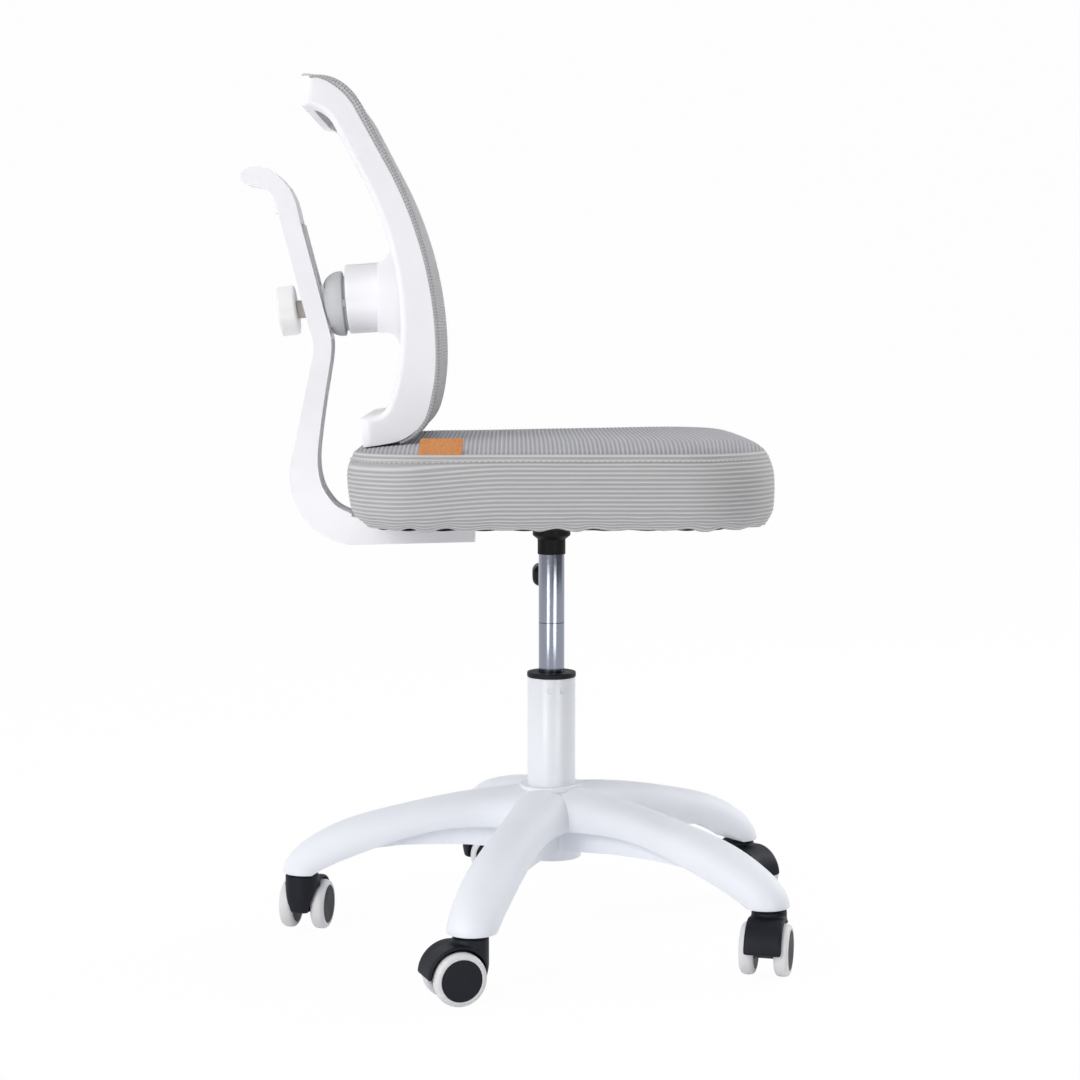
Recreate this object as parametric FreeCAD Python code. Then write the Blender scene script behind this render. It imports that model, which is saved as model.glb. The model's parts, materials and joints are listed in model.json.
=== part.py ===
import FreeCAD, Part
import math
import os

os.makedirs("parts", exist_ok=True)

# Fits and gaps in millimetres
running = 0.05
pressed = 0.02
passing = 0.3
cut_over = 5.0

# Base star
arm_angles = [180.0, 252.0, 324.0, 36.0, 108.0]
hub_radius = 30.0
hub_low = 78.0
hub_high = 148.0
lip_radius = 31.5
lip_high = 152.0
arm_end_z = 62.0
arm_roof = 8.0
pocket_half = 13.0
rib_wall = 3.0
rib_side = [
    (20.0, 118.0), (106.0, 116.0), (143.0, 109.0), (187.0, 95.0), (187.0, 88.0), (155.0, 91.8), (118.0, 93.0),
    (85.0, 92.5), (66.0, 91.0), (20.0, 88.0),
]
pocket_spans = [(62.0, 107.0), (112.0, 157.0), (162.0, 207.0)]
arm_stations = [
    (18.0, 152.0, 18.0, 108.0, 80.0),
    (45.0, 149.5, 45.0, 112.0, 60.0),
    (76.0, 145.7, 72.0, 112.0, 50.0),
    (112.0, 139.5, 106.0, 110.0, 47.0),
    (151.0, 131.0, 143.0, 102.0, 47.0),
    (185.0, 122.5, 175.0, 91.5, 47.0),
    (215.0, 112.5, 203.0, 81.0, 47.0),
    (243.0, 98.0, 225.0, 71.5, 46.5),
    (259.0, 86.0, 235.0, 66.2, 46.0),
    (268.5, 74.0, 239.5, 63.4, 45.5),
    (272.0, arm_end_z, 241.0, arm_end_z, 45.0),
]

# Casters
stem_reach = 253.0
stem_radius = 5.5
stem_depth = 24.0
pin_radius = 4.0
pin_low = 43.0
stem_flange_radius = 8.0
stem_flange_low = 60.2
housing_top = 59.8
boss_radius = 17.0
boss_low = 44.0
wheel_radius = 25.0
core_radius = 19.5
wheel_width = 14.0
wheel_centre = 16.5
caster_trail = 16.0
axle_radius = 4.0
axle_cover = 3.5
core_round = 1.2
web_radius = 13.0
hood_inner = 27.4
hood_outer = 30.0
hood_half = 18.5
caster_turns = [78.0, 200.0, 255.0, 312.0, 5.0]

# Seat
seat_rear = -195.0
seat_front = 210.0
seat_half = 203.0
rear_corner = 72.0
front_corner = 92.0
hem_z = 425.0
wall_levels = [
    (hem_z, 20.0), (433.0, 10.5), (447.0, 2.8), (465.0, 0.0), (481.0, 1.0), (495.0, 6.5), (514.0, 20.0),
]
crown_spine = [
    (-240.0, 485.0), (-190.0, 494.5), (-150.0, 501.6), (-105.0, 505.6), (-52.0, 508.4), (0.0, 509.6),
    (60.0, 510.0), (120.0, 508.6), (170.0, 505.0), (215.0, 499.0), (255.0, 491.0),
]
crown_radius = 1430.0
crown_half_angle = 8.0
cover_thick = 1.5
cover_lip = 25.0
board_thick = 12.0
board_inset = 24.0
dust_thick = 1.0
dust_inset = 23.0
label_span = (-125.0, -84.0)
label_low = 489.8
label_high = 508.0
label_inset = 5.4
label_y = label_inset - seat_half
label_thick = 1.2
plate_bolts = [(-56.0, -48.0), (-56.0, 48.0), (56.0, -48.0), (56.0, 48.0)]
leg_bolts = [(-95.0, -14.0), (-95.0, 14.0), (-132.0, -14.0), (-132.0, 14.0)]
bolt_radius = 3.0
head_radius = 5.5
head_high = 4.0
head_sunk = 1.0
nut_radius = 9.0
nut_thick = 1.5

# Column
tube_radius = 24.2
tube_wall = 2.5
tube_low = 82.0
tube_floor = 4.0
tube_high = 261.0
bush_flange = 24.6
bush_high = 266.0
bush_low = 205.0
cylinder_radius = 13.0
cylinder_bore = 10.5
cylinder_low = 222.0
cylinder_cap = 8.0
cylinder_top_thick = 12.0
cylinder_sunk = 1.0
rod_radius = 5.0
rod_tail = 4.0
rod_tail_low = 79.0
piston_low = 232.0
piston_high = 244.0
bearing_radius = 12.0
bearing_high = 96.0
shoulder_radius = 7.0
shoulder_high = 99.0
buffer_radius = 9.5
buffer_high = 111.0
clip_radius = 9.0
clip_low = 79.6
clip_thick = 1.8
release_radius = 3.0
release_long = 12.0

# Under the seat
collar_radius = 14.0
collar_low = 385.0
collar_neck = 400.0
collar_flare = 19.0
collar_flare_low = 404.0
plate_high = hem_z - dust_thick
plate_thick = 3.0
dish_deep = 12.0
dish_low = plate_high - dish_deep
finger_gap = 0.5
plate_half_x = 68.0
plate_half_y = 58.0
dish_half_x = 45.0
dish_half_y = 40.0
lug_inner = 8.0
lug_thick = 3.0
pivot_y = 30.0
pivot_radius = 2.0
lever_radius = 3.0
pivot_z = dish_low + plate_thick + finger_gap + lever_radius
lever_inner = -6.0
lever_bend = (44.0, pivot_z)
lever_elbow = (112.0, 366.0)
lever_tip = (160.0, 347.0)
lever_knob_size = (30.0, 44.0, 22.0)
lever_knob_shift = -2.5
cylinder_high = dish_low - cylinder_sunk
cylinder_head = cylinder_high - cylinder_top_thick
release_high = pivot_z - lever_radius - finger_gap
release_low = release_high - release_long

# Back upright
upright_half = 25.0
leg_low = 399.3
leg_low_rear = 396.4
leg_end = -76.5
leg_bend_rear = -197.0
leg_bend_front = -186.0
lean = math.radians(14.5)
face_x = -233.4
face_z = 663.9
upright_thick = 18.6
front_straight = (-60.0, 48.0)
rear_straight = (-42.0, 62.0)
rear_low = [
    (-208.0, 398.2), (-220.9, 403.2), (-233.0, 410.4), (-244.5, 421.4), (-251.6, 433.4), (-256.3, 445.2),
    (-259.0, 456.5), (-259.4, 468.0), (-254.6, 493.0), (-244.4, 540.0),
    (-236.4, 577.0), (-234.4, 589.0), (-235.4, 601.0),
]
front_low = [
    (-217.0, 595.0), (-217.3, 586.0), (-219.4, 571.0), (-224.6, 540.0), (-230.0, 501.0), (-231.6, 482.0),
    (-230.4, 466.0), (-227.0, 454.0), (-219.4, 441.6), (-209.0, 432.4), (-198.0, 426.3),
]
grip = [
    (-270.6, 733.4), (-273.6, 740.6), (-278.4, 745.6), (-285.0, 748.2), (-293.0, 749.4), (-300.4, 751.0),
    (-304.0, 755.6), (-302.8, 761.0), (-298.2, 765.2), (-291.0, 767.5), (-283.0, 767.3), (-275.4, 764.6),
    (-268.6, 759.6), (-261.6, 752.4), (-255.2, 743.2), (-250.8, 732.8),
]
catch = [(-264.0, 722.5), (-272.4, 723.2), (-272.2, 733.0), (-268.0, 737.5)]
channel_wall = 6.0
channel_lanes = [(-20.0, -8.0), (-5.0, 5.0), (8.0, 20.0)]
channel_inside = [
    (-210.0, 597.0), (-209.0, 590.0), (-215.0, 550.0), (-221.0, 510.0), (-225.0, 484.0), (-224.0, 468.0),
    (-220.0, 456.0), (-212.0, 445.0), (-202.0, 436.0), (-192.0, 432.0), (-150.0, 432.0),
]
channel_leg_end = -150.0

# Back height clamp
trim_half = 20.0
trim_proud = 1.5
trim_span = (-58.0, 50.0)
slot_half = 4.6
slot_span = (-49.5, 26.5)
slider_travel = 45.0
slide_plate_half = 20.0
slide_plate_thick = 4.0
slide_plate_span = (-55.0, -13.0)
tongue_span = (-48.0, -20.0)
tongue_depth = 6.0
ball_x = -203.0
ball_z = 635.0
ball_radius = 27.0
cap_radius = 32.0
cap_front = -2.4
cap_round = 18.0
cap_straight = -5.0
cap_tilt = 4.0
clamp_tilt = 7.5
screw_radius = 4.0
screw_head = -9.0
screw_end = -60.0
washer_radius = 9.0
knob_radius = 24.5
knob_front = -49.5
knob_back = -67.5
knob_round = 2.5
knob_hole = -62.0
bush_outer = 8.0
bush_half = 23.0

# Backrest
band_start = (-179.3, 499.0)
band_heading = 7.0
band_arcs = [(400.0, 3.9), (45.3, 59.65), (151.0, 19.25), (367.5, 29.3)]
band_straight = 57.9
band_top = (57.3, 60.9)
band_thick = 27.0
behind_arcs = [(400.0, 1.9), (17.5, 59.05), (151.5, 15.15), (288.5, 35.0)]
behind_straight = 56.7
behind_top = (33.6, 61.9)
behind_lead = 14.0
band_half = 140.0
band_corner = 12.0
band_round = 6.0
rail_width = 26.0
rail_inner = band_half - rail_width
window_corner = 18.0
bar_low_angle = 8.0
bar_high_angle = 15.0
ring_start = 18.0
ring_thick = 2.2
mesh_thick = 1.2
mesh_margin = 1.5
ring_width = 22.0
ring_inner = band_half - ring_width
cup_lift = 3.75
cup_radius = 34.2
cup_rear = 0.8
cup_deep = 38.0
cup_round = 2.0
cup_wall_gap = 0.4
tilt_pin_radius = 4.0
tilt_pin_half = 31.0
yoke_side = [
    (-203.0, 668.0), (-198.0, 672.0), (-173.0, 673.2), (-165.5, 674.6), (-160.0, 678.0), (-156.6, 684.0),
    (-155.4, 693.0), (-90.0, 693.0), (-90.0, 588.0), (-144.4, 588.0), (-145.2, 594.0), (-147.8, 600.4),
    (-152.4, 604.2), (-161.0, 606.0), (-198.0, 606.0), (-203.0, 609.0),
]
yoke_low = 560.0
yoke_tall = 160.0
yoke_reach = band_half - 12.0
yoke_rear = [(-140.0, 1.0), (-152.0, 0.72), (-163.0, 0.46), (-171.0, 0.24)]
yoke_front = [(-118.0, 1.0), (-138.0, 0.67), (-153.0, 0.34), (-158.0, 0.0)]


def vec(x, y, z):
    return FreeCAD.Vector(x, y, z)


up = vec(0, 0, 1)
across = vec(0, 1, 0)


def save(name, shape):
    shape.exportStep("parts/" + name + ".step")


def drum(radius, low, high, x=0.0, y=0.0):
    return Part.makeCylinder(radius, high - low, vec(x, y, low))


def tube(outer, inner, low, high, x=0.0, y=0.0):
    return drum(outer, low, high, x, y).cut(drum(inner, low, high, x, y))


def bar(radius, start, end):
    line = end - start
    return Part.makeCylinder(radius, line.Length, start, line)


def block(x0, x1, y0, y1, z0, z1):
    return Part.makeBox(x1 - x0, y1 - y0, z1 - z0, vec(x0, y0, z0))


def joined(shapes):
    return shapes[0].multiFuse(shapes[1:]).removeSplitter()


def prism(edges, y0, y1):
    face = Part.Face(Part.Wire(edges))
    face.translate(vec(0, y0, 0))
    return face.extrude(vec(0, y1 - y0, 0))


def polygon(points):
    corners = [vec(x, 0, z) for x, z in points]
    return Part.makePolygon(corners + corners[:1]).Edges


def line(a, b):
    return Part.LineSegment(a, b).toShape()


def spline(points, start_way=None, end_way=None):
    curve = Part.BSplineCurve()
    if start_way is None:
        curve.interpolate(points)
    else:
        curve.interpolate(points, InitialTangent=start_way, FinalTangent=end_way)
    return curve.toShape()


# Five-armed base
def arm_section(top_r, top_z, foot_r, foot_z, width):
    foot = vec(foot_r, 0, foot_z)
    rise = vec(top_r, 0, top_z) - foot
    height = rise.Length
    way = rise * (1.0 / height)
    radius = (width * width / 4 + height * height) / (2 * height)
    centre = height - radius
    half_turn = (math.atan2(-centre, width / 2) + math.pi / 2) / 2
    side = radius * math.cos(half_turn)
    level = centre + radius * math.sin(half_turn)
    left = foot - across * (width / 2)
    right = foot + across * (width / 2)
    crest = foot + way * height
    right_arc = Part.Arc(right, foot + across * side + way * level, crest).toShape()
    left_arc = Part.Arc(crest, foot - across * side + way * level, left).toShape()
    return Part.Wire([line(left, right), right_arc, left_arc])


def crest_height(reach):
    for a, b in zip(arm_stations, arm_stations[1:]):
        if a[0] <= reach <= b[0]:
            return a[1] + (b[1] - a[1]) * (reach - a[0]) / (b[0] - a[0])


def turned(shape, angle):
    copy = shape.copy()
    copy.rotate(vec(0, 0, 0), up, angle)
    return copy


arm = Part.makeLoft([arm_section(*s) for s in arm_stations], True, False)
arm = arm.fuse(prism(polygon(rib_side), -pocket_half - rib_wall, pocket_half + rib_wall))
pockets = []
for near, far in pocket_spans:
    far_roof, near_roof = crest_height(far) - arm_roof, crest_height(near) - arm_roof
    pocket = [(near, 0.0), (far, 0.0), (far, far_roof), (near, near_roof)]
    pockets.append(prism(polygon(pocket), -pocket_half, pocket_half))
pockets.append(drum(stem_radius + pressed, arm_end_z - cut_over, arm_end_z + stem_depth, stem_reach))
arm = arm.cut(Part.makeCompound(pockets))
hub = drum(hub_radius, hub_low, hub_high).fuse(drum(lip_radius, hub_high, lip_high))
base = joined([hub] + [turned(arm, angle) for angle in arm_angles])
base = base.cut(drum(tube_radius + pressed, hub_low - cut_over, lip_high + cut_over))
save("base_star", base)

# Caster stems, one node for the five
stem = joined([
    drum(stem_radius, arm_end_z - pressed, arm_end_z + stem_depth - pressed, stem_reach),
    drum(stem_flange_radius, stem_flange_low, arm_end_z - pressed, stem_reach),
    drum(pin_radius, pin_low, stem_flange_low, stem_reach),
])
save("caster_stems", Part.makeCompound([turned(stem, angle) for angle in arm_angles]))


# One caster about its swivel line, trailing along +X
def wheel_drum(radius, y0, y1):
    return Part.makeCylinder(radius, y1 - y0, vec(caster_trail, y0, wheel_radius), across)


wheel_in = wheel_centre - wheel_width / 2
wheel_out = wheel_centre + wheel_width / 2
web_half = wheel_in - passing
neck = [
    (-11.0, 29.0), (caster_trail, 29.0), (caster_trail + 12, 46.0), (boss_radius, housing_top - 6),
    (-boss_radius, housing_top - 6), (-boss_radius, 38.0),
]
hood = wheel_drum(hood_outer, -hood_half, hood_half)
hood = hood.common(block(-11.0, 50, -50, 50, wheel_radius - 3.0, 90))
housing = joined([
    drum(boss_radius, boss_low, housing_top),
    prism(polygon(neck), -hood_half, hood_half),
    hood,
    wheel_drum(web_radius, -web_half, web_half),
])
for low, high in ((web_half, 40.0), (-40.0, -web_half)):
    housing = housing.cut(wheel_drum(hood_inner, low, high))
housing = housing.cut(drum(pin_radius + running, pin_low - passing, housing_top + cut_over))
housing = housing.cut(wheel_drum(axle_radius + pressed, -40.0, 40.0))
axle_end = wheel_out - axle_cover
axle = wheel_drum(axle_radius, -axle_end, axle_end)
core = wheel_drum(core_radius, wheel_in, wheel_out)
face_rim = [e for e in core.Edges if e.Length > core_radius * 6 and e.CenterOfMass.y > wheel_centre]
core = core.makeFillet(core_round, face_rim)
core = core.cut(wheel_drum(axle_radius + running, wheel_in - cut_over, axle_end + passing))
tread = wheel_drum(wheel_radius, wheel_in, wheel_out)
tread = tread.makeFillet(3.0, [e for e in tread.Edges if e.Length > wheel_radius * 6])
tread = tread.cut(wheel_drum(core_radius + pressed, wheel_in - cut_over, wheel_out + cut_over))


def placed(shape, angle, turn):
    copy = turned(shape, turn)
    spot = math.radians(angle)
    copy.translate(vec(stem_reach * math.cos(spot), stem_reach * math.sin(spot), 0))
    return copy


for number, (angle, turn) in enumerate(zip(arm_angles, caster_turns), 1):
    name = "caster_%d_" % number
    save(name + "housing", placed(housing, angle, turn))
    save(name + "axle", placed(axle, angle, turn))
    save(name + "core_left", placed(core, angle, turn))
    save(name + "tread_left", placed(tread, angle, turn))
    for part_name, shape in (("core_right", core), ("tread_right", tread)):
        save(name + part_name, placed(shape.mirror(vec(0, 0, 0), across), angle, turn))

# Column from the floor plate of the tube upwards
column = tube(tube_radius, tube_radius - tube_wall, tube_low, tube_high)
column_floor = tube(tube_radius - tube_wall / 2, rod_tail + running, tube_low, tube_low + tube_floor)
save("column_tube", joined([column, column_floor]))
sleeve = drum(tube_radius - tube_wall - pressed, bush_low, tube_high)
bush = joined([sleeve, drum(bush_flange, tube_high, bush_high)])
bush = bush.cut(drum(cylinder_radius + running, bush_low, bush_high))
save("guide_bush", bush)
bearing_low = tube_low + tube_floor
save("thrust_bearing", tube(bearing_radius, rod_tail + pressed, bearing_low, bearing_high))
rod = joined([
    drum(rod_tail, rod_tail_low, bearing_high),
    drum(shoulder_radius, bearing_high, shoulder_high),
    drum(rod_radius, shoulder_high, piston_low),
    drum(cylinder_bore - running, piston_low, piston_high),
])
save("piston_rod", rod)
save("rubber_buffer", tube(buffer_radius, rod_radius + pressed, shoulder_high, buffer_high))
save("rod_clip", tube(clip_radius, rod_tail + pressed, clip_low, clip_low + clip_thick))
gas = drum(cylinder_radius, cylinder_low, cylinder_high)
gas = gas.cut(drum(cylinder_bore, cylinder_low + cylinder_cap, cylinder_head))
gas = gas.cut(drum(rod_radius + running, cylinder_low - cut_over, cylinder_low + cylinder_cap + 1.0))
gas = gas.cut(drum(release_radius + running, cylinder_head - 1.0, cylinder_high + cut_over))
save("gas_cylinder", gas)
save("release_pin", drum(release_radius, release_low, release_high))

# Seat plate with its welded collar, and the height lever
collar = joined([
    drum(collar_radius, collar_low, collar_neck),
    Part.makeCone(collar_radius, collar_flare, collar_flare_low - collar_neck, vec(0, 0, collar_neck)),
    drum(collar_flare, collar_flare_low, dish_low),
])
dish_floor = dish_low + plate_thick
flange_low = plate_high - plate_thick
dish_in_x = dish_half_x - plate_thick
dish_in_y = dish_half_y - plate_thick
plate = joined([
    block(-plate_half_x, plate_half_x, -plate_half_y, plate_half_y, flange_low, plate_high),
    block(-dish_half_x, dish_half_x, -dish_half_y, dish_half_y, dish_low, plate_high),
])
plate = plate.cut(block(-dish_in_x, dish_in_x, -dish_in_y, dish_in_y, dish_floor, plate_high + cut_over))
lugs = []
for side in (-lug_inner - lug_thick, lug_inner):
    lugs.append(block(side, side + lug_thick, pivot_y - 4, pivot_y + 4, dish_floor, flange_low))
socket = drum(cylinder_radius + pressed, collar_low - cut_over, dish_low)
plate = joined([plate, collar] + lugs).cut(socket)
pivot_reach = lug_inner + lug_thick
pivot_hole = bar(
    pivot_radius + running, vec(-pivot_reach - 1, pivot_y, pivot_z), vec(pivot_reach + 1, pivot_y, pivot_z)
)
lever_slot = lever_radius + 2.0
openings = [
    pivot_hole,
    drum(release_radius + 3.0, dish_low - cut_over, dish_floor + 1.0),
    block(-lever_slot, lever_slot, lever_inner - 2.0, pivot_y - 1.0, dish_low - cut_over, dish_floor),
    block(-lever_slot, lever_slot, dish_in_y - 1.0, plate_half_y + cut_over, dish_floor, plate_high + cut_over),
]
openings += [drum(bolt_radius + pressed, dish_low, plate_high + cut_over, x, y) for x, y in plate_bolts]
plate = plate.cut(Part.makeCompound(openings))
save("seat_plate", plate)
lever_path = [vec(0, lever_inner, pivot_z), vec(0, *lever_bend), vec(0, *lever_elbow), vec(0, *lever_tip)]
lever_parts = [bar(lever_radius, a, b) for a, b in zip(lever_path, lever_path[1:])]
lever_parts += [Part.makeSphere(lever_radius, point) for point in lever_path[1:3]]
lever_parts.append(bar(pivot_radius, vec(-pivot_reach, pivot_y, pivot_z), vec(pivot_reach, pivot_y, pivot_z)))
lever = joined(lever_parts)
save("height_lever", lever)
wide, long, tall = lever_knob_size
tip_y, tip_z = lever_tip
wide_low = lever_knob_shift - wide / 2
paddle = block(
    wide_low, wide_low + wide, tip_y - long / 2, tip_y + long / 2, tip_z - tall / 2, tip_z + tall / 2
)
paddle = paddle.makeFillet(8.0, paddle.Edges)
save("lever_knob", paddle.cut(lever))


# Cushion: drawn-in side wall under a crown that falls towards the rear
def outline(inset, z):
    x0 = seat_rear + inset
    x1 = seat_front - inset
    y1 = seat_half - inset
    edges = []
    corners = [(x1, y1, front_corner, 0.0), (x0, y1, rear_corner, 90.0)]
    corners += [(x0, -y1, rear_corner, 180.0), (x1, -y1, front_corner, 270.0)]
    ends = []
    for x, y, radius, start in corners:
        radius = radius - inset
        centre = vec(x - math.copysign(radius, x), y - math.copysign(radius, y), z)
        spots = []
        for turn in (start, start + 45.0, start + 90.0):
            spots.append(centre + vec(math.cos(math.radians(turn)), math.sin(math.radians(turn)), 0) * radius)
        ends.append(spots)
    for i, spots in enumerate(ends):
        edges.append(Part.Arc(*spots).toShape())
        edges.append(line(spots[2], ends[(i + 1) % 4][0]))
    return Part.Wire(edges)


def slab(inset, low, high):
    return Part.Face(outline(inset, low)).extrude(vec(0, 0, high - low))


def cushion(shrink):
    walls = Part.makeLoft([outline(inset + shrink, z) for z, inset in wall_levels], True, False)
    spine = [vec(x, 0, z - shrink) for x, z in crown_spine]
    low = hem_z + shrink
    first = vec(spine[0].x, 0, low)
    last = vec(spine[-1].x, 0, low)
    sides = [line(spine[-1], last), line(last, first), line(first, spine[0])]
    face = Part.Face(Part.Wire([spline(spine)] + sides))
    pole = vec(0, 0, crown_spine[5][1] - crown_radius)
    face.rotate(pole, vec(1, 0, 0), -crown_half_angle)
    crown = face.revolve(pole, vec(1, 0, 0), 2 * crown_half_angle)
    around = (seat_rear - cut_over, seat_front + cut_over, -seat_half - cut_over, seat_half + cut_over)
    return walls.common(crown).common(block(*around, low, wall_levels[-1][0] + cut_over))


board_low = hem_z + cover_thick
leg_head = leg_low + head_high + head_sunk
board_high = board_low + board_thick
bolt_spots = [(x, y, flange_low) for x, y in plate_bolts] + [(x, y, leg_head) for x, y in leg_bolts]
bolts = []
for x, y, seat_z in bolt_spots:
    bolts.append(joined([
        drum(head_radius, seat_z - head_high, seat_z, x, y),
        drum(bolt_radius, seat_z, board_high, x, y),
        drum(nut_radius, board_high, board_high + nut_thick, x, y),
    ]))
bolt_set = Part.makeCompound(bolts)
save("seat_bolts", bolt_set)
label = block(label_span[0], label_span[1], label_y, label_y + label_thick, label_low, label_high)
save("side_label", label)
filling = cushion(cover_thick)
cover = cushion(0.0).cut(filling).cut(slab(board_inset + cover_lip, hem_z - cut_over, board_low + 1.0))
save("seat_cover", cover.cut(label))
board = slab(board_inset, board_low, board_high)
save("seat_foam", filling.cut(board).cut(bolt_set).cut(label))
save("seat_board", board.cut(bolt_set))
save("dust_cover", slab(dust_inset, hem_z - dust_thick, hem_z).cut(bolt_set))


# Points on the leaning face of the upright: along it, and forward of it
def on_face(along, forward):
    x = face_x - along * math.sin(lean) + forward * math.cos(lean)
    return vec(x, 0, face_z + along * math.cos(lean) + forward * math.sin(lean))


def leaning_block(span, low, high, half):
    corners = [on_face(span[0], low), on_face(span[1], low), on_face(span[1], high), on_face(span[0], high)]
    return prism(Part.makePolygon(corners + corners[:1]).Edges, -half, half)


slide_way = vec(-math.sin(lean), 0, math.cos(lean))
rear_face = -upright_thick
leg_points = [vec(leg_end, 0, leg_low), vec(leg_bend_rear, 0, leg_low_rear)]
leg_tops = [vec(leg_bend_front, 0, plate_high), vec(leg_end, 0, plate_high)]
rear_curve = [leg_points[1]] + [vec(x, 0, z) for x, z in rear_low] + [on_face(rear_straight[0], rear_face)]
grip_curve = [on_face(rear_straight[1], rear_face)] + [vec(x, 0, z) for x, z in grip]
grip_curve.append(on_face(front_straight[1], 0.0))
front_curve = [on_face(front_straight[0], 0.0)] + [vec(x, 0, z) for x, z in front_low] + [leg_tops[0]]
leg_way = leg_points[1] - leg_points[0]
rear_edge = spline(rear_curve, leg_way * (1.0 / leg_way.Length), slide_way)
outline_edges = [
    line(*leg_points),
    rear_edge,
    line(rear_curve[-1], grip_curve[0]),
    spline(grip_curve, slide_way, slide_way * -1),
    line(grip_curve[-1], front_curve[0]),
    spline(front_curve, slide_way * -1, vec(1, 0, 0)),
    line(*leg_tops),
    line(leg_tops[1], leg_points[0]),
]
upright = prism(outline_edges, -upright_half, upright_half)
upright = joined([upright, prism(polygon(catch), -upright_half + 4, upright_half - 4)])
inner_wall = []
for step in range(25):
    place = rear_edge.FirstParameter + (rear_edge.LastParameter - rear_edge.FirstParameter) * step / 24 * 0.94
    way = rear_edge.tangentAt(place)
    inner_wall.append(rear_edge.valueAt(place) + vec(way.z, 0, -way.x) * channel_wall)
channel_start = vec(channel_leg_end, 0, leg_low + channel_wall)
inside = [vec(x, 0, z) for x, z in channel_inside]
channel_edges = [line(channel_start, inner_wall[0]), spline(inner_wall)]
channel_loop = [inner_wall[-1]] + inside + [channel_start]
channel_edges += [line(a, b) for a, b in zip(channel_loop, channel_loop[1:])]
upright = upright.cut(Part.makeCompound([prism(channel_edges, *lane) for lane in channel_lanes]))
slot = leaning_block(slot_span, rear_face - cut_over, trim_proud + cut_over, slot_half)
heads = []
for x, y in leg_bolts:
    heads.append(drum(head_radius + pressed, leg_low - 2 * cut_over, leg_head, x, y))
    heads.append(drum(bolt_radius + pressed, leg_low, plate_high + cut_over, x, y))
upright = upright.cut(slot).cut(Part.makeCompound(heads))
save("back_upright", upright)
save("slot_trim", leaning_block(trim_span, 0.0, trim_proud, trim_half).cut(slot))

# Clamp: slider with its cap and ball, screw, washer and knob
ball_centre = vec(ball_x, 0, ball_z)
clamp_angle = math.radians(clamp_tilt)
clamp_way = vec(math.cos(clamp_angle), 0, math.sin(clamp_angle))


def on_clamp(distance):
    return ball_centre + clamp_way * distance


def spun(edges, tilt):
    shape = Part.Face(Part.Wire(edges)).revolve(vec(0, 0, 0), vec(1, 0, 0), 360)
    shape.rotate(vec(0, 0, 0), across, -tilt)
    shape.translate(ball_centre)
    return shape


cap_back = cap_straight - cap_round
cap_flat = cap_radius - cap_round
corner = cap_round * math.sqrt(0.5)
cap_points = [vec(cap_back - 6, 0, 0), vec(cap_front, 0, 0), vec(cap_front, 0, cap_radius - 1.0)]
cap_points += [vec(cap_front - 1.0, 0, cap_radius), vec(cap_straight, 0, cap_radius)]
cap_edges = [line(a, b) for a, b in zip(cap_points, cap_points[1:])]
cap_mid = vec(cap_straight - corner, 0, cap_flat + corner)
cap_edges.append(Part.Arc(cap_points[-1], cap_mid, vec(cap_back, 0, cap_flat)).toShape())
cap_edges.append(line(vec(cap_back, 0, cap_flat), vec(cap_back - 6, 0, cap_flat)))
cap_edges.append(line(vec(cap_back - 6, 0, cap_flat), cap_points[0]))
slide_low = trim_proud + passing
cap = joined([spun(cap_edges, cap_tilt), Part.makeSphere(ball_radius, ball_centre)])
slider = joined([
    leaning_block(slide_plate_span, slide_low, slide_low + slide_plate_thick, slide_plate_half),
    leaning_block(tongue_span, -tongue_depth, slide_low, slot_half - passing),
    cap.common(leaning_block((-4 * cap_radius, 4 * cap_radius), slide_low, 3 * cap_radius, 2 * cap_radius)),
])
screw = bar(screw_radius, on_clamp(screw_end), on_clamp(screw_head))
tilt_bush = bar(bush_outer, ball_centre - across * bush_half, ball_centre + across * bush_half)
pin_half = tilt_pin_half + passing
pin_space = bar(tilt_pin_radius + running, ball_centre - across * pin_half, ball_centre + across * pin_half)
save("back_slider", slider.cut(screw).cut(tilt_bush).cut(pin_space))
save("clamp_screw", screw)
save("tilt_bush", tilt_bush.cut(screw).cut(pin_space))
washer = bar(washer_radius, on_clamp(knob_front + passing), on_clamp(-20.0))
behind = leaning_block((-4 * cap_radius, 4 * cap_radius), 3 * knob_back, rear_face - passing, 2 * cap_radius)
save("clamp_washer", washer.common(behind).cut(screw))
knob = bar(knob_radius, on_clamp(knob_back), on_clamp(knob_front))
knob = knob.makeFillet(knob_round, [e for e in knob.Edges if e.Length > knob_radius * 6])
save("clamp_knob", knob.cut(bar(screw_radius + running, on_clamp(knob_hole), on_clamp(knob_front + cut_over))))


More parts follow.
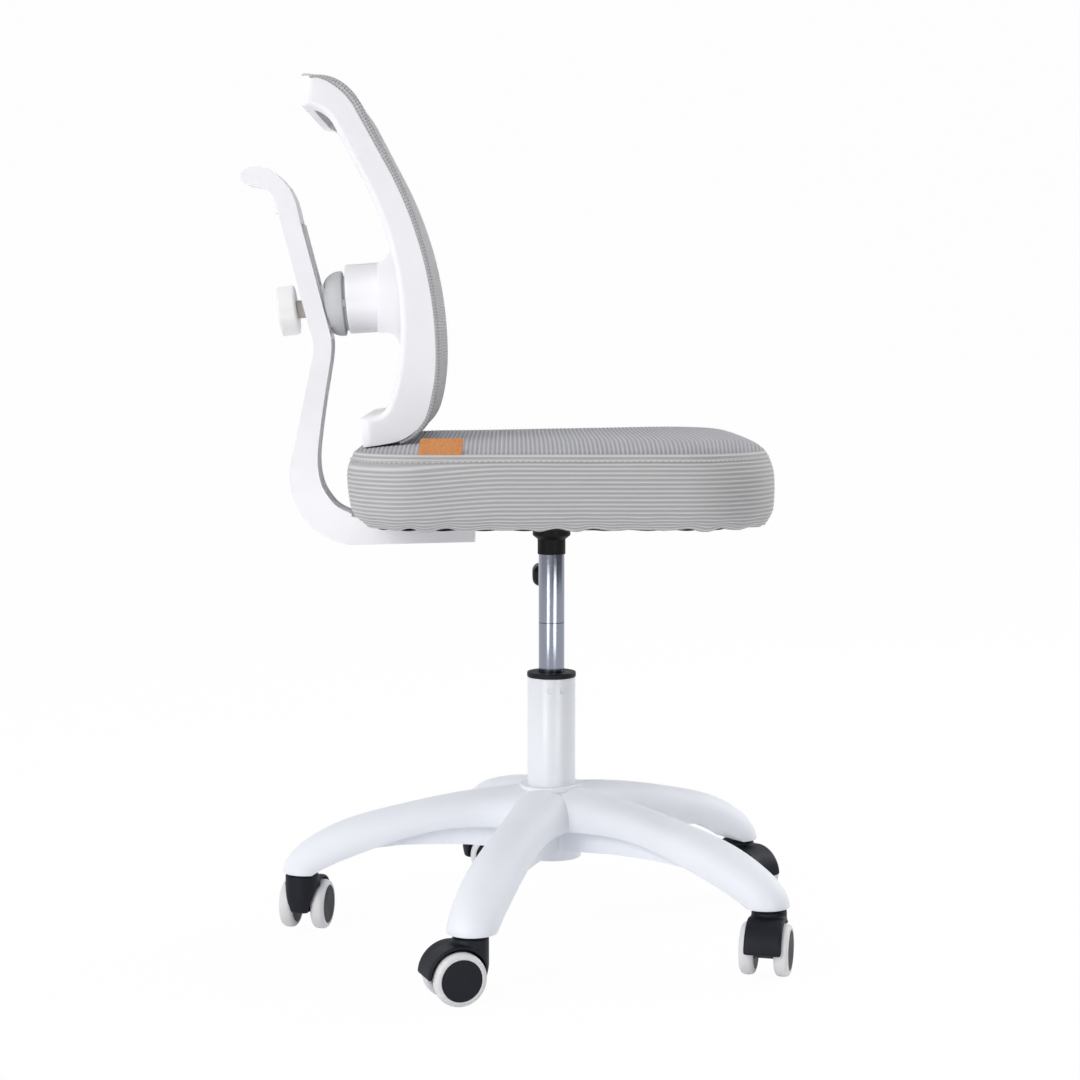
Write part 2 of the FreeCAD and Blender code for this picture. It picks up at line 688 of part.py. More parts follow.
# Backrest: a curved band given by its front and rear lines, each offset inwards or outwards
def band_line(inward, skip_low, skip_high):
    point = vec(band_start[0], 0, band_start[1])
    heading = math.radians(band_heading)
    arcs, straight, lead = band_arcs + [band_top], band_straight, 0.0
    if inward > band_thick / 2:
        point = point + vec(-math.sin(heading), 0, math.cos(heading)) * band_thick
        arcs, straight, lead = behind_arcs + [behind_top], behind_straight, behind_lead
        inward = inward - band_thick
    edges = []
    last = len(arcs) - 1
    for index, (radius, sweep) in enumerate(arcs):
        if index == last:
            way = vec(math.cos(heading), 0, math.sin(heading))
            inside_way = vec(-math.sin(heading), 0, math.cos(heading)) * inward
            edges.append(line(point + inside_way, point + way * straight + inside_way))
            point = point + way * straight
        centre = point + vec(-math.sin(heading), 0, math.cos(heading)) * radius
        turn = math.radians(sweep)
        begin = heading + (math.radians(skip_low + lead) if index == 1 and skip_low > 0.0 else 0.0)
        end = heading + turn - (math.radians(skip_high) if index == last else 0.0)
        spots = []
        for angle in (begin, (begin + end) / 2, end):
            spots.append(centre + vec(math.sin(angle), 0, -math.cos(angle)) * (radius - inward))
        if index > 0 or skip_low == 0.0:
            edges.append(Part.Arc(*spots).toShape())
        heading += turn
        point = centre + vec(math.sin(heading), 0, -math.cos(heading)) * radius
    return edges


def band(front, back, half, skip_low=0.0, skip_high=0.0):
    ahead = band_line(front, skip_low, skip_high)
    behind_line = band_line(back, skip_low, skip_high)
    closing = [
        line(ahead[-1].lastVertex(True).Point, behind_line[-1].lastVertex(True).Point),
        line(behind_line[0].firstVertex(True).Point, ahead[0].firstVertex(True).Point),
    ]
    loop = Part.Wire(Part.__sortEdges__(ahead + behind_line + closing))
    face = Part.Face(loop)
    face.translate(vec(0, -half, 0))
    return face.extrude(vec(0, 2 * half, 0))


def corner_cut(end_x, inset, low, high, half):
    pieces = []
    radius = band_corner
    for side in (-1, 1):
        outer = side * half
        centre_y = outer - side * radius
        y0, y1 = sorted((outer + side * cut_over, centre_y))
        square = block(end_x - cut_over, end_x + radius + inset, y0, y1, low, high)
        pieces.append(square.cut(drum(radius, low, high, end_x + radius + inset, centre_y)))
    return Part.makeCompound(pieces)


def trimmed(shape, half):
    lowest = min(v.Z for v in shape.Vertexes)
    highest = max(v.Z for v in shape.Vertexes)
    middle = (lowest + highest) / 2
    top_end = min(v.X for v in shape.Vertexes)
    low_end = min(v.X for v in shape.Vertexes if v.Z < middle)
    top_cut = corner_cut(top_end, 0.0, middle, highest + cut_over, half)
    return shape.cut(top_cut).cut(corner_cut(low_end, 0.0, lowest - cut_over, middle, half))


def window(half):
    space = band(-20.0, band_thick + 3.0, half, bar_low_angle, bar_high_angle)
    side = [e for e in space.Edges if abs(abs(e.CenterOfMass.y) - half) < 0.01]
    straight = [e for e in side if e.Curve.TypeId == "Part::GeomLine"]
    runs = (band_straight, behind_straight)
    through = [e for e in straight if min(abs(e.Length - run) for run in runs) > 0.01]
    return space.makeFillet(window_corner, through)


frame = band(0.0, band_thick, band_half)
rear_edges = []
for edge in band_line(band_thick, 0.0, 0.0):
    for side in (-band_half, band_half):
        spot = edge.CenterOfMass + across * side
        rear_edges.append(min(frame.Edges, key=lambda e: (e.CenterOfMass - spot).Length))
frame = frame.makeFillet(band_round, rear_edges)
frame = trimmed(frame, band_half).cut(window(rail_inner))
rear_side = [vec(x, yoke_reach * share, yoke_low) for x, share in yoke_rear]
rear_other = [vec(p.x, -p.y, p.z) for p in reversed(rear_side)]
front_side = [vec(x, yoke_reach * share, yoke_low) for x, share in yoke_front]
front_all = front_side + [vec(p.x, -p.y, p.z) for p in reversed(front_side[:-1])]
plan = [
    spline(rear_side),
    line(rear_side[-1], rear_other[0]),
    spline(rear_other),
    line(rear_other[-1], front_all[-1]),
    spline(front_all),
    line(front_all[0], rear_side[0]),
]
crescent = Part.Face(Part.Wire(Part.__sortEdges__(plan))).extrude(vec(0, 0, yoke_tall))
yoke = crescent.common(prism(polygon(yoke_side), -band_half, band_half)).cut(band(-60.0, 0.0, band_half))
cup_angle = math.radians(cap_tilt)
cup_way = vec(math.cos(cup_angle), 0, math.sin(cup_angle))
cup_start = ball_centre + vec(0, 0, cup_lift) + cup_way * cup_rear
cup = bar(cup_radius, cup_start, cup_start + cup_way * cup_deep)
cup = cup.makeFillet(cup_round, [e for e in cup.Edges if e.Length > cup_radius * 6])
rim_room = cup_radius * 3
behind_rim = Part.makeBox(rim_room, 2 * rim_room, 2 * rim_room, vec(cup_rear - rim_room, -rim_room, -rim_room))
behind_rim.rotate(vec(0, 0, 0), across, -cap_tilt)
behind_rim.translate(ball_centre)
frame = joined([frame, yoke, cup]).cut(behind_rim)
frame = frame.cut(Part.makeSphere(ball_radius + cup_wall_gap, ball_centre))
tilt_pin = bar(tilt_pin_radius, ball_centre - across * tilt_pin_half, ball_centre + across * tilt_pin_half)
tilt_hole_half = tilt_pin_half + pressed
tilt_hole = bar(
    tilt_pin_radius + pressed, ball_centre - across * tilt_hole_half, ball_centre + across * tilt_hole_half
)
frame = frame.cut(tilt_hole)
ring = trimmed(band(-ring_thick, 0.0, band_half, ring_start), band_half).cut(window(ring_inner))
save("back_frame", frame)
save("mesh_ring", ring)
save("tilt_pin", tilt_pin)
mesh_half = band_half - mesh_margin
save("back_mesh", trimmed(band(-ring_thick - mesh_thick, -ring_thick, mesh_half, ring_start), mesh_half))
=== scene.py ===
import json
import math
import bpy
import numpy as np
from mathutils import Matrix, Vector


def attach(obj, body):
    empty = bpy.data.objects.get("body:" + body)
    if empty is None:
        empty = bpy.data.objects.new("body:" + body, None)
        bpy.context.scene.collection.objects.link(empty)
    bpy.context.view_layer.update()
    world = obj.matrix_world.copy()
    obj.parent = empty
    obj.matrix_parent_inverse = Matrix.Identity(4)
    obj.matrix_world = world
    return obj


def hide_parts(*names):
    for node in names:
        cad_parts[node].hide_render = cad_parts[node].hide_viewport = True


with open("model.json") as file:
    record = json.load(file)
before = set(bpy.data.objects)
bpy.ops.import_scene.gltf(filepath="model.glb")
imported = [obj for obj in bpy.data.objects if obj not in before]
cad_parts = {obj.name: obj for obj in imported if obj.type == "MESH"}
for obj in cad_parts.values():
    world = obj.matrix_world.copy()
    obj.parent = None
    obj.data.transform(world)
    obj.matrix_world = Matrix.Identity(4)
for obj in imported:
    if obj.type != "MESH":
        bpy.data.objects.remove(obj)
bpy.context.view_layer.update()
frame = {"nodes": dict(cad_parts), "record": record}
nodes = frame["nodes"]
mm = 0.001
print("frame loaded:", len(nodes), "nodes")


def tone(r, g, b):
    # screen tone 0-255 to linear colour
    c = np.array([r, g, b]) / 255.0
    lin = np.where(c <= 0.04045, c / 12.92, ((c + 0.055) / 1.055) ** 2.4)
    return (*[float(v) for v in lin], 1.0)


def ease(x, low, high):
    # smooth step from 0 at low to 1 at high
    t = np.clip((np.asarray(x, float) - low) / (high - low), 0.0, 1.0)
    return t * t * (3.0 - 2.0 * t)


def through(xs, ys, at):
    # natural cubic spline through the points (xs, ys), read at "at"
    xs, ys = np.asarray(xs, float), np.asarray(ys, float)
    h = np.diff(xs)
    n = len(xs)
    a = np.eye(n)
    r = np.zeros(n)
    i = np.arange(1, n - 1)
    a[i, i - 1], a[i, i], a[i, i + 1] = h[:-1], 2.0 * (h[:-1] + h[1:]), h[1:]
    r[i] = 6.0 * np.diff(np.diff(ys) / h)
    m = np.linalg.solve(a, r)
    at = np.asarray(at, float)
    k = np.clip(np.searchsorted(xs, at) - 1, 0, n - 2)
    p, q = xs[k + 1] - at, at - xs[k]
    return (m[k] * p**3 + m[k + 1] * q**3) / (6.0 * h[k]) + (ys[k] / h[k] - m[k] * h[k] / 6.0) * p + (
        ys[k + 1] / h[k] - m[k + 1] * h[k] / 6.0) * q


def gridFaces(nu, nv, wrapU=False, wrapV=False, flip=False):
    # quads between neighbours of an nu by nv grid of points
    u, v = np.meshgrid(np.arange(nu if wrapU else nu - 1), np.arange(nv if wrapV else nv - 1), indexing="ij")
    un, vn = (u + 1) % nu, (v + 1) % nv
    quads = np.stack([u * nv + v, un * nv + v, un * nv + vn, u * nv + vn], -1).reshape(-1, 4)
    return quads[:, ::-1] if flip else quads


def gridNormals(points, wrapU=False, wrapV=False):
    # unit normals of a grid surface, from its neighbours' differences
    def slope(p, axis, wrap):
        if wrap:
            return np.roll(p, -1, axis) - np.roll(p, 1, axis)
        return np.gradient(p, axis=axis)
    n = np.cross(slope(points, 0, wrapU), slope(points, 1, wrapV))
    return n / np.maximum(np.linalg.norm(n, axis=-1, keepdims=True), 1e-12)


def piece(name, verts, faces, body, material, uv=None, replaces=()):
    # mesh object at the origin, its place in its points (mm in, metres out)
    mesh = bpy.data.meshes.new(name)
    mesh.from_pydata((np.asarray(verts).reshape(-1, 3) * mm).tolist(), [], np.asarray(faces).tolist())
    if uv is not None:
        layer = mesh.uv_layers.new(name="UVMap")
        index = np.zeros(len(mesh.loops), np.int32)
        mesh.loops.foreach_get("vertex_index", index)
        layer.data.foreach_set("uv", np.asarray(uv).reshape(-1, 2)[index].astype(np.float32).ravel())
    mesh.update()
    mesh.shade_smooth()
    mesh.materials.append(material)
    obj = bpy.data.objects.new(name, mesh)
    bpy.context.scene.collection.objects.link(obj)
    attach(obj, body)
    if replaces:
        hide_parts(*replaces)
    return obj


# Finishes
noiseEnds = (0.3, 0.7)


class Finish:
    # a Principled material with short calls for its texture nodes
    def __init__(self, name, colour, roughness, **sockets):
        self.mat = bpy.data.materials.new(name)
        self.mat.use_nodes = True
        self.tree = self.mat.node_tree
        self.shader = self.tree.nodes["Principled BSDF"]
        self.shader.inputs["Base Color"].default_value = colour
        self.shader.inputs["Roughness"].default_value = roughness
        for key, value in sockets.items():
            self.shader.inputs[key.replace("_", " ")].default_value = value
        self.place = self.add("TexCoord")

    def add(self, kind, inputs=None, **settings):
        made = self.tree.nodes.new("ShaderNode" + kind)
        for key, value in settings.items():
            setattr(made, key, value)
        for key, value in (inputs or {}).items():
            if isinstance(value, bpy.types.NodeSocket):
                self.tree.links.new(value, made.inputs[key])
            else:
                made.inputs[key].default_value = value
        return made

    def feed(self, socket, output):
        self.tree.links.new(output, self.shader.inputs[socket])

    def calc(self, operation, *values):
        return self.add("Math", dict(enumerate(values)), operation=operation).outputs[0]

    def layered(self, mix, *layers):
        # each layer's share added to the mix
        for layer, share in layers:
            mix = self.calc("MULTIPLY_ADD", layer, share, mix)
        return mix

    def scaled(self, coordinates, scale):
        made = self.add("Mapping", {"Vector": self.place.outputs[coordinates], "Scale": scale})
        return made.outputs["Vector"]

    def noise(self, scale, detail=3.0, rough=0.5, vector=None):
        where = vector or self.place.outputs["Object"]
        made = self.add("TexNoise", {"Vector": where, "Scale": scale, "Detail": detail, "Roughness": rough})
        return made.outputs["Fac"]

    def yarn(self, vector, scale, twist):
        # slanting strands, bent by twist
        made = self.add("TexWave", {"Vector": vector, "Scale": scale, "Distortion": twist, "Detail": 1.0},
                        wave_type="BANDS", bands_direction="DIAGONAL")
        return made.outputs["Fac"]

    def ramp(self, factor, stops):
        made = self.add("ValToRGB", {"Fac": factor})
        points = made.color_ramp.elements
        for i, (at, colour) in enumerate(stops):
            spot = points[i] if i < 2 else points.new(at)
            spot.position = at
            spot.color = colour
        return made.outputs["Color"]

    def between(self, noise, dark, pale):
        return self.ramp(noise, list(zip(noiseEnds, (dark, pale))))

    def spread(self, noise, low, high):
        made = self.add("MapRange", {"Value": noise, "From Min": noiseEnds[0], "From Max": noiseEnds[1],
                                     "To Min": low, "To Max": high})
        return made.outputs["Result"]

    def bump(self, height, strength, distance):
        made = self.add("Bump", {"Height": height, "Strength": strength, "Distance": distance})
        self.feed("Normal", made.outputs["Normal"])


mould = {"cloud": 14.0, "patch": 55.0, "gloss": (-0.05, 0.07), "strength": 0.35}


def shade(colour, factor):
    return (*[min(1.0, c * factor) for c in colour[:3]], 1.0)


def moulded(name, colour, roughness, grain=1500.0, depth=0.00006, vary=0.025, **sockets):
    # injection-moulded plastic: faint cloudiness, fine grain, uneven gloss
    f = Finish(name, colour, roughness, **sockets)
    f.feed("Base Color", f.between(f.noise(mould["cloud"], 4.0), shade(colour, 1 - vary), shade(colour, 1 + vary)))
    f.feed("Roughness", f.spread(f.noise(mould["patch"], 5.0), *[roughness + more for more in mould["gloss"]]))
    f.bump(f.noise(grain, 2.0), mould["strength"], depth)
    return f.mat


def tubeFinish():
    # satin paint with two shallow round marks near the tube's top
    f = Finish("tubePaint", tone(241, 244, 249), 0.33)
    marks = {"places": [(-0.0025, -0.0240, 0.2488), (0.0103, -0.0219, 0.2488)], "radius": 0.0026, "flat": 0.6,
             "deep": 0.0012, "grain": 0.04}
    dents = []
    for place in marks["places"]:
        far = f.add("VectorMath", {0: f.place.outputs["Object"], 1: place}, operation="DISTANCE")
        dent = f.add("MapRange", {"Value": far.outputs["Value"], "From Min": marks["radius"] * marks["flat"],
                                  "From Max": marks["radius"]}, interpolation_type="SMOOTHSTEP")
        dents.append(dent.outputs["Result"])
    f.feed("Roughness", f.spread(f.noise(mould["patch"], 5.0), 0.28, 0.4))
    f.bump(f.layered(f.calc("MULTIPLY", *dents), (f.noise(420.0, 2.0), marks["grain"])), 0.55, marks["deep"])
    return f.mat


def chromeFinish():
    # polished tube: fine drawn lines round it and a lap line part way up
    bright = tone(141, 146, 158)
    f = Finish("chrome", bright, 0.16, Metallic=1.0)
    lap = {"height": 0.3160, "half": 0.0006, "dark": tone(84, 86, 92)}
    lines = f.noise(1.0, 2.0, vector=f.scaled("Object", (40.0, 40.0, 2600.0)))
    f.feed("Roughness", f.spread(lines, 0.13, 0.21))
    xyz = f.add("SeparateXYZ", {"Vector": f.place.outputs["Object"]})
    off = f.calc("ABSOLUTE", f.calc("SUBTRACT", xyz.outputs["Z"], lap["height"]))
    mark = f.add("MapRange", {"Value": off, "From Min": lap["half"] * 0.5, "From Max": lap["half"]})
    f.feed("Base Color", f.ramp(mark.outputs["Result"], [(0.0, lap["dark"]), (1.0, bright)]))
    return f.mat


def ribbedKnit(name, grooveShade, middle, crestHighlight):
    # UV: metres along the rib, ribs across; painted highlight on the ridges and painted shade in the grooves, twisted
    # yarn on both
    f = Finish(name, middle, 0.82, Sheen_Weight=0.25, Sheen_Roughness=0.4)
    knit = {"twist": (1500.0, 6.0, 1.0), "crown": 2.2, "yarn": 0.16, "fuzz": 0.22, "worn": 0.18}
    uv = f.add("SeparateXYZ", {"Vector": f.place.outputs["UV"]})
    ribs = f.calc("COSINE", f.calc("MULTIPLY", uv.outputs["Y"], 2.0 * math.pi))
    lift = f.add("MapRange", {"Value": ribs, "From Min": -1.0, "From Max": 1.0})
    yarn = f.yarn(f.scaled("UV", knit["twist"]), 0.32, 1.6)
    fuzz = f.noise(900.0, 4.0, 0.65)
    mix = f.layered(f.calc("POWER", lift.outputs["Result"], knit["crown"]), (yarn, knit["yarn"]),
                    (fuzz, knit["fuzz"]), (f.noise(18.0, 3.0), knit["worn"]))
    # colour follows the rib phase: the pale crest tone is a painted highlight, the dark groove tone painted shade
    f.feed("Base Color", f.ramp(mix, [(0.2, grooveShade), (0.6, middle), (1.0, crestHighlight)]))
    f.bump(f.calc("ADD", fuzz, yarn), 0.55, 0.0003)
    return f.mat


def spacerMesh():
    # UV in metres: small pores between knitted strands, in pale and dark rows; the pores are painted dark, a painted
    # shade for the space seen through them
    f = Finish("spacerMesh", tone(150, 150, 153), 0.86, Sheen_Weight=0.2, Sheen_Roughness=0.45)
    cell = {"pitch": 0.0016, "pore": (0.16, 0.36), "row": 0.0030, "twist": (1600.0, 700.0, 1.0), "strands": 0.25,
            "rows": 0.36, "fuzz": 0.2}
    pores = f.add("TexVoronoi", {"Vector": f.scaled("UV", (1 / cell["pitch"], 1 / cell["pitch"], 1.0)), "Scale": 1.0,
                                 "Randomness": 0.12}, voronoi_dimensions="2D")
    # 0 in the pores, 1 on the strands: the pores get the darkest tone, painted shade
    solid = f.add("MapRange", {"Value": pores.outputs["Distance"], "From Min": cell["pore"][0],
                               "From Max": cell["pore"][1]})
    uv = f.add("SeparateXYZ", {"Vector": f.place.outputs["UV"]})
    rows = f.calc("COSINE", f.calc("MULTIPLY", uv.outputs["X"], 2.0 * math.pi / cell["row"]))
    mix = f.layered(solid.outputs["Result"], (f.yarn(f.scaled("UV", cell["twist"]), 0.3, 2.0), cell["strands"]),
                    (rows, cell["rows"]), (f.noise(1200.0, 3.0, 0.6), cell["fuzz"]))
    # first stop: painted shade in the pores
    f.feed("Base Color", f.ramp(mix, [(0.1, tone(108, 108, 112)), (0.7, tone(160, 160, 163)),
                                      (1.0, tone(194, 194, 196))]))
    f.bump(mix, 0.7, 0.0005)
    return f.mat


def thinFelt():
    f = Finish("thinFelt", tone(38, 39, 44), 0.95, Sheen_Weight=0.15)
    fibre = f.noise(1400.0, 4.0, 0.7)
    f.feed("Base Color", f.between(fibre, tone(26, 27, 31), tone(56, 57, 62)))
    f.bump(fibre, 0.5, 0.0003)
    return f.mat


def tanLeather():
    f = Finish("tanLeather", tone(216, 141, 70), 0.55)
    pores = f.add("TexVoronoi", {"Vector": f.place.outputs["Object"], "Scale": 900.0})
    f.feed("Base Color", f.between(f.noise(420.0, 5.0, 0.65), tone(193, 123, 63), tone(216, 146, 85)))
    f.bump(pores.outputs["Distance"], 0.4, 0.0002)
    return f.mat


def rawPly():
    f = Finish("rawPly", tone(202, 168, 120), 0.7)
    grain = f.noise(4.0, 5.0, 0.6, f.scaled("Object", (6.0, 90.0, 60.0)))
    f.feed("Base Color", f.between(grain, tone(176, 136, 88), tone(216, 186, 140)))
    return f.mat


trimPlastic = moulded("trimPlastic", tone(226, 227, 229), 0.5)
blackPlastic = moulded("blackPlastic", tone(11, 15, 27), 0.55, grain=1100.0, depth=0.00022, vary=0.12,
                       Specular_IOR_Level=0.24)
treadRubber = moulded("treadRubber", tone(227, 227, 229), 0.5, grain=700.0, depth=0.0001, vary=0.04)
blackSteel = moulded("blackSteel", tone(7, 8, 11), 0.5, grain=600.0, depth=0.00018, vary=0.1, Specular_IOR_Level=0.15)
# knit tones in order: painted shade in the grooves, the knit's middle tone, painted highlight on the crests
sideKnit = ribbedKnit("sideKnit", tone(168, 167, 169), tone(183, 182, 184), tone(208, 207, 208))
topKnit = ribbedKnit("topKnit", tone(143, 143, 151), tone(158, 158, 165), tone(182, 182, 187))
threadGrey = moulded("threadGrey", tone(212, 211, 212), 0.7, grain=3000.0, depth=0.0001, vary=0.06)
meshKnit = spacerMesh()
dustFelt = thinFelt()
tabLeather = tanLeather()

slotFinish = {
    "white_plastic": moulded("whitePlastic", tone(245, 245, 249), 0.34),
    "base_plastic": moulded("basePlastic", tone(241, 244, 251), 0.56),
    "knob_plastic": moulded("knobPlastic", tone(241, 241, 241), 0.36),
    "washer_plastic": moulded("washerPlastic", tone(196, 192, 182), 0.5),
    "grey_plastic": moulded("greyPlastic", tone(196, 197, 199), 0.52, grain=900.0, depth=0.0001),
    "steel": moulded("plainSteel", tone(186, 187, 190), 0.32, grain=300.0, depth=0.00005, Metallic=1.0),
    "rubber": moulded("darkRubber", tone(40, 40, 41), 0.7, grain=500.0, depth=0.0002, vary=0.1),
    "black_plastic": blackPlastic, "black_steel": blackSteel, "white_tread": treadRubber,
    "tube_paint": tubeFinish(), "chrome": chromeFinish(), "plywood": rawPly(), "foam": dustFelt,
    "ribbed_fabric": sideKnit, "mesh_fabric": meshKnit, "dust_fabric": dustFelt, "tan_leather": tabLeather,
}
for part in frame["record"]["subparts"]:
    mesh = nodes[part["node"]].data
    mesh.materials.clear()
    mesh.materials.append(slotFinish[part["material_slot"]])
nodes["slot_trim"].data.materials[0] = trimPlastic
print("finishes:", len(slotFinish))

# Rounded edges on the moulded nodes: points merged, then a small bevel
rounding = {"weld": 0.00002, "steps": 3, "angle": 38.0}
edgeRound = {
    "base_star": 2.5, "back_upright": 3.0, "back_frame": 2.0, "back_slider": 1.0, "slot_trim": 0.5,
    "column_tube": 0.6, "guide_bush": 0.8, "gas_cylinder": 0.6, "seat_plate": 0.8, "clamp_washer": 0.6,
}
for i in range(1, 6):
    for side in ("left", "right"):
        edgeRound[f"caster_{i}_core_{side}"] = 0.6
for name, width in edgeRound.items():
    obj = nodes[name]
    weld = obj.modifiers.new("weld", "WELD")
    weld.merge_threshold = rounding["weld"]
    bevel = obj.modifiers.new("edges", "BEVEL")
    bevel.width = width * mm
    bevel.segments = rounding["steps"]
    bevel.limit_method = "ANGLE"
    bevel.angle_limit = math.radians(rounding["angle"])
    bevel.use_clamp_overlap = True
    bevel.harden_normals = True
print("rounded nodes:", len(edgeRound))

# Casters: one smooth hood and two full round treads each
caster = {
    "trail": 16.0, "wheel": 25.0, "core": 19.55, "wheelIn": 9.5, "wheelOut": 23.5, "fullness": 2.6,
    "treadTurns": 96, "treadPoints": 35,
    "arch": 30.0, "archHalf": 18.6, "archLow": 25.0, "archBack": -1.0, "archRound": 3.5, "lowRound": 3.2,
    "backRound": 1.0, "stem": 16.9, "stemZ": (21.0, 59.6), "stemRound": 1.6, "taper": 0.05, "taperZ": 34.0,
    "taperPower": 1.5, "join": 3.0, "room": 27.2, "roomRound": 1.0,
    "hub": 9.0, "hubHalf": 8.9, "hubRound": 0.8, "hubJoin": 1.5,
    "step": 0.9, "low": (-21.0, -22.0, 13.0), "high": (50.0, 22.0, 63.0), "evenings": 3,
}


def joinSoft(a, b, k):
    # smaller of two distance fields, filleted over k where they meet
    h = np.clip(0.5 + 0.5 * (b - a) / k, 0.0, 1.0)
    return b + (a - b) * h - k * h * (1.0 - h)


def meetRound(a, b, r):
    # inside both distance fields, the shared edge rounded by r
    p, q = a + r, b + r
    return np.minimum(np.maximum(p, q), 0.0) + np.hypot(np.maximum(p, 0.0), np.maximum(q, 0.0)) - r


def hoodField(x, y, z):
    # upright drum on the swivel line joined to an arch over the axle, less the wheels' room, with a hub between
    c = caster
    fromAxle = np.hypot(x - c["trail"], z - c["wheel"])
    arch = meetRound(fromAxle - c["arch"], np.abs(y) - c["archHalf"], c["archRound"])
    arch = meetRound(arch, c["archLow"] - z, c["lowRound"])
    arch = meetRound(arch, c["archBack"] - x, c["backRound"])
    low, high = c["stemZ"]
    taper = c["taper"] * np.maximum(c["taperZ"] - z, 0.0) ** c["taperPower"]
    tall = np.abs(z - (low + high) / 2) - (high - low) / 2
    stem = meetRound(np.hypot(x, y) - c["stem"] + taper, tall, c["stemRound"])
    room = np.maximum(fromAxle - c["room"], c["hubHalf"] - np.abs(y))
    body = -joinSoft(-joinSoft(arch, stem, c["join"]), room, c["roomRound"])
    hub = meetRound(fromAxle - c["hub"], np.abs(y) - c["hubHalf"], c["hubRound"])
    return joinSoft(body, hub, c["hubJoin"])


def netSurface(field, low, step):
    # surface net of a distance field: a point in each cell that the zero level crosses, a quad round each crossed edge
    inside = field < 0.0
    n = np.array(field.shape) - 1
    total, hits = np.zeros((*n, 3)), np.zeros(n)
    for axis in range(3):
        for side in range(4):
            start = np.insert(np.array([side // 2, side % 2]), axis, 0)
            end = start + np.eye(3, dtype=int)[axis]
            a = field[tuple(slice(o, o + m) for o, m in zip(start, n))]
            b = field[tuple(slice(o, o + m) for o, m in zip(end, n))]
            cross = (a < 0.0) != (b < 0.0)
            t = np.where(cross, a / np.where(cross, a - b, 1.0), 0.0)
            total += np.where(cross[..., None], start + t[..., None] * np.eye(3)[axis], 0.0)
            hits += cross
    used = hits > 0
    ids = np.full(n, -1)
    ids[used] = np.arange(used.sum())
    points = np.asarray(low) + step * (np.argwhere(used) + total[used] / hits[used][:, None])
    quads = []
    for axis in range(3):
        ahead = np.moveaxis(inside, axis, 0)
        cell = np.moveaxis(ids, axis, 0)
        change = ahead[:-1, 1:-1, 1:-1] != ahead[1:, 1:-1, 1:-1]
        outward = ahead[:-1, 1:-1, 1:-1][change] ^ (axis == 1)
        ring = np.stack([cell[:, :-1, :-1][change], cell[:, 1:, :-1][change], cell[:, 1:, 1:][change],
                         cell[:, :-1, 1:][change]], -1)
        quads.append(np.where(outward[:, None], ring, ring[:, ::-1]))
    return points, np.concatenate(quads)


def evened(points, faces, rounds):
    # each point moved half way to the mean of its neighbours, some rounds over
    a, b = faces.ravel(), np.roll(faces, -1, 1).ravel()
    near = np.bincount(a, minlength=len(points)) + np.bincount(b, minlength=len(points))
    for _ in range(rounds):
        mean = np.stack([np.bincount(a, points[b, i], len(points)) + np.bincount(b, points[a, i], len(points))
                         for i in range(3)], -1) / near[:, None]
        points = 0.5 * (points + mean)
    return points


def treadGrid(side):
    # full round section carried round the axle, closed along the core
    c = caster
    around = np.linspace(0.0, 2 * math.pi, c["treadTurns"], endpoint=False)[:, None]
    s = np.linspace(0.0, math.pi, c["treadPoints"])[None, :]
    share = 2.0 / c["fullness"]
    half = (c["wheelOut"] - c["wheelIn"]) / 2
    y = (c["wheelOut"] + c["wheelIn"]) / 2 + half * np.sign(np.cos(s)) * np.abs(np.cos(s)) ** share
    r = c["core"] + (c["wheel"] - c["core"]) * np.sin(s) ** share
    points = np.stack([c["trail"] + r * np.cos(around), side * y + 0 * around, c["wheel"] + r * np.sin(around)], -1)
    return points, gridFaces(c["treadTurns"], c["treadPoints"], wrapU=True, wrapV=True, flip=side < 0)


def dressCasters():
    # pieces are worked out about the swivel line, trailing along x, then turned to each caster's own way
    c = caster
    axes = [np.arange(a, b, c["step"]) for a, b in zip(c["low"], c["high"])]
    hood, hoodFaces = netSurface(hoodField(*np.meshgrid(*axes, indexing="ij")), c["low"], c["step"])
    hood = evened(hood, hoodFaces, c["evenings"])
    joints = {j["name"]: j for j in frame["record"]["behaviour"]["joints"]}
    for i in range(1, 6):
        swivel = np.array(joints[f"caster_{i}_swivel"]["pos_m"]) / mm * (1, 1, 0)
        behind = np.array(joints[f"caster_{i}_roll_left"]["pos_m"]) / mm * (1, 1, 0) - swivel
        behind = behind / np.linalg.norm(behind)
        turned = np.array([behind, np.cross((0, 0, 1), behind), (0, 0, 1)])
        piece(f"casterHood{i}", hood @ turned + swivel, hoodFaces, f"caster_{i}", blackPlastic,
              replaces=[f"caster_{i}_housing"])
        for side, word in ((1, "left"), (-1, "right")):
            points, faces = treadGrid(side)
            piece(f"casterTread{i}{word.title()}", points @ turned + swivel, faces, f"caster_{i}_wheel_{word}",
                  treadRubber, replaces=[f"caster_{i}_tread_{word}"])


dressCasters()
print("casters dressed")

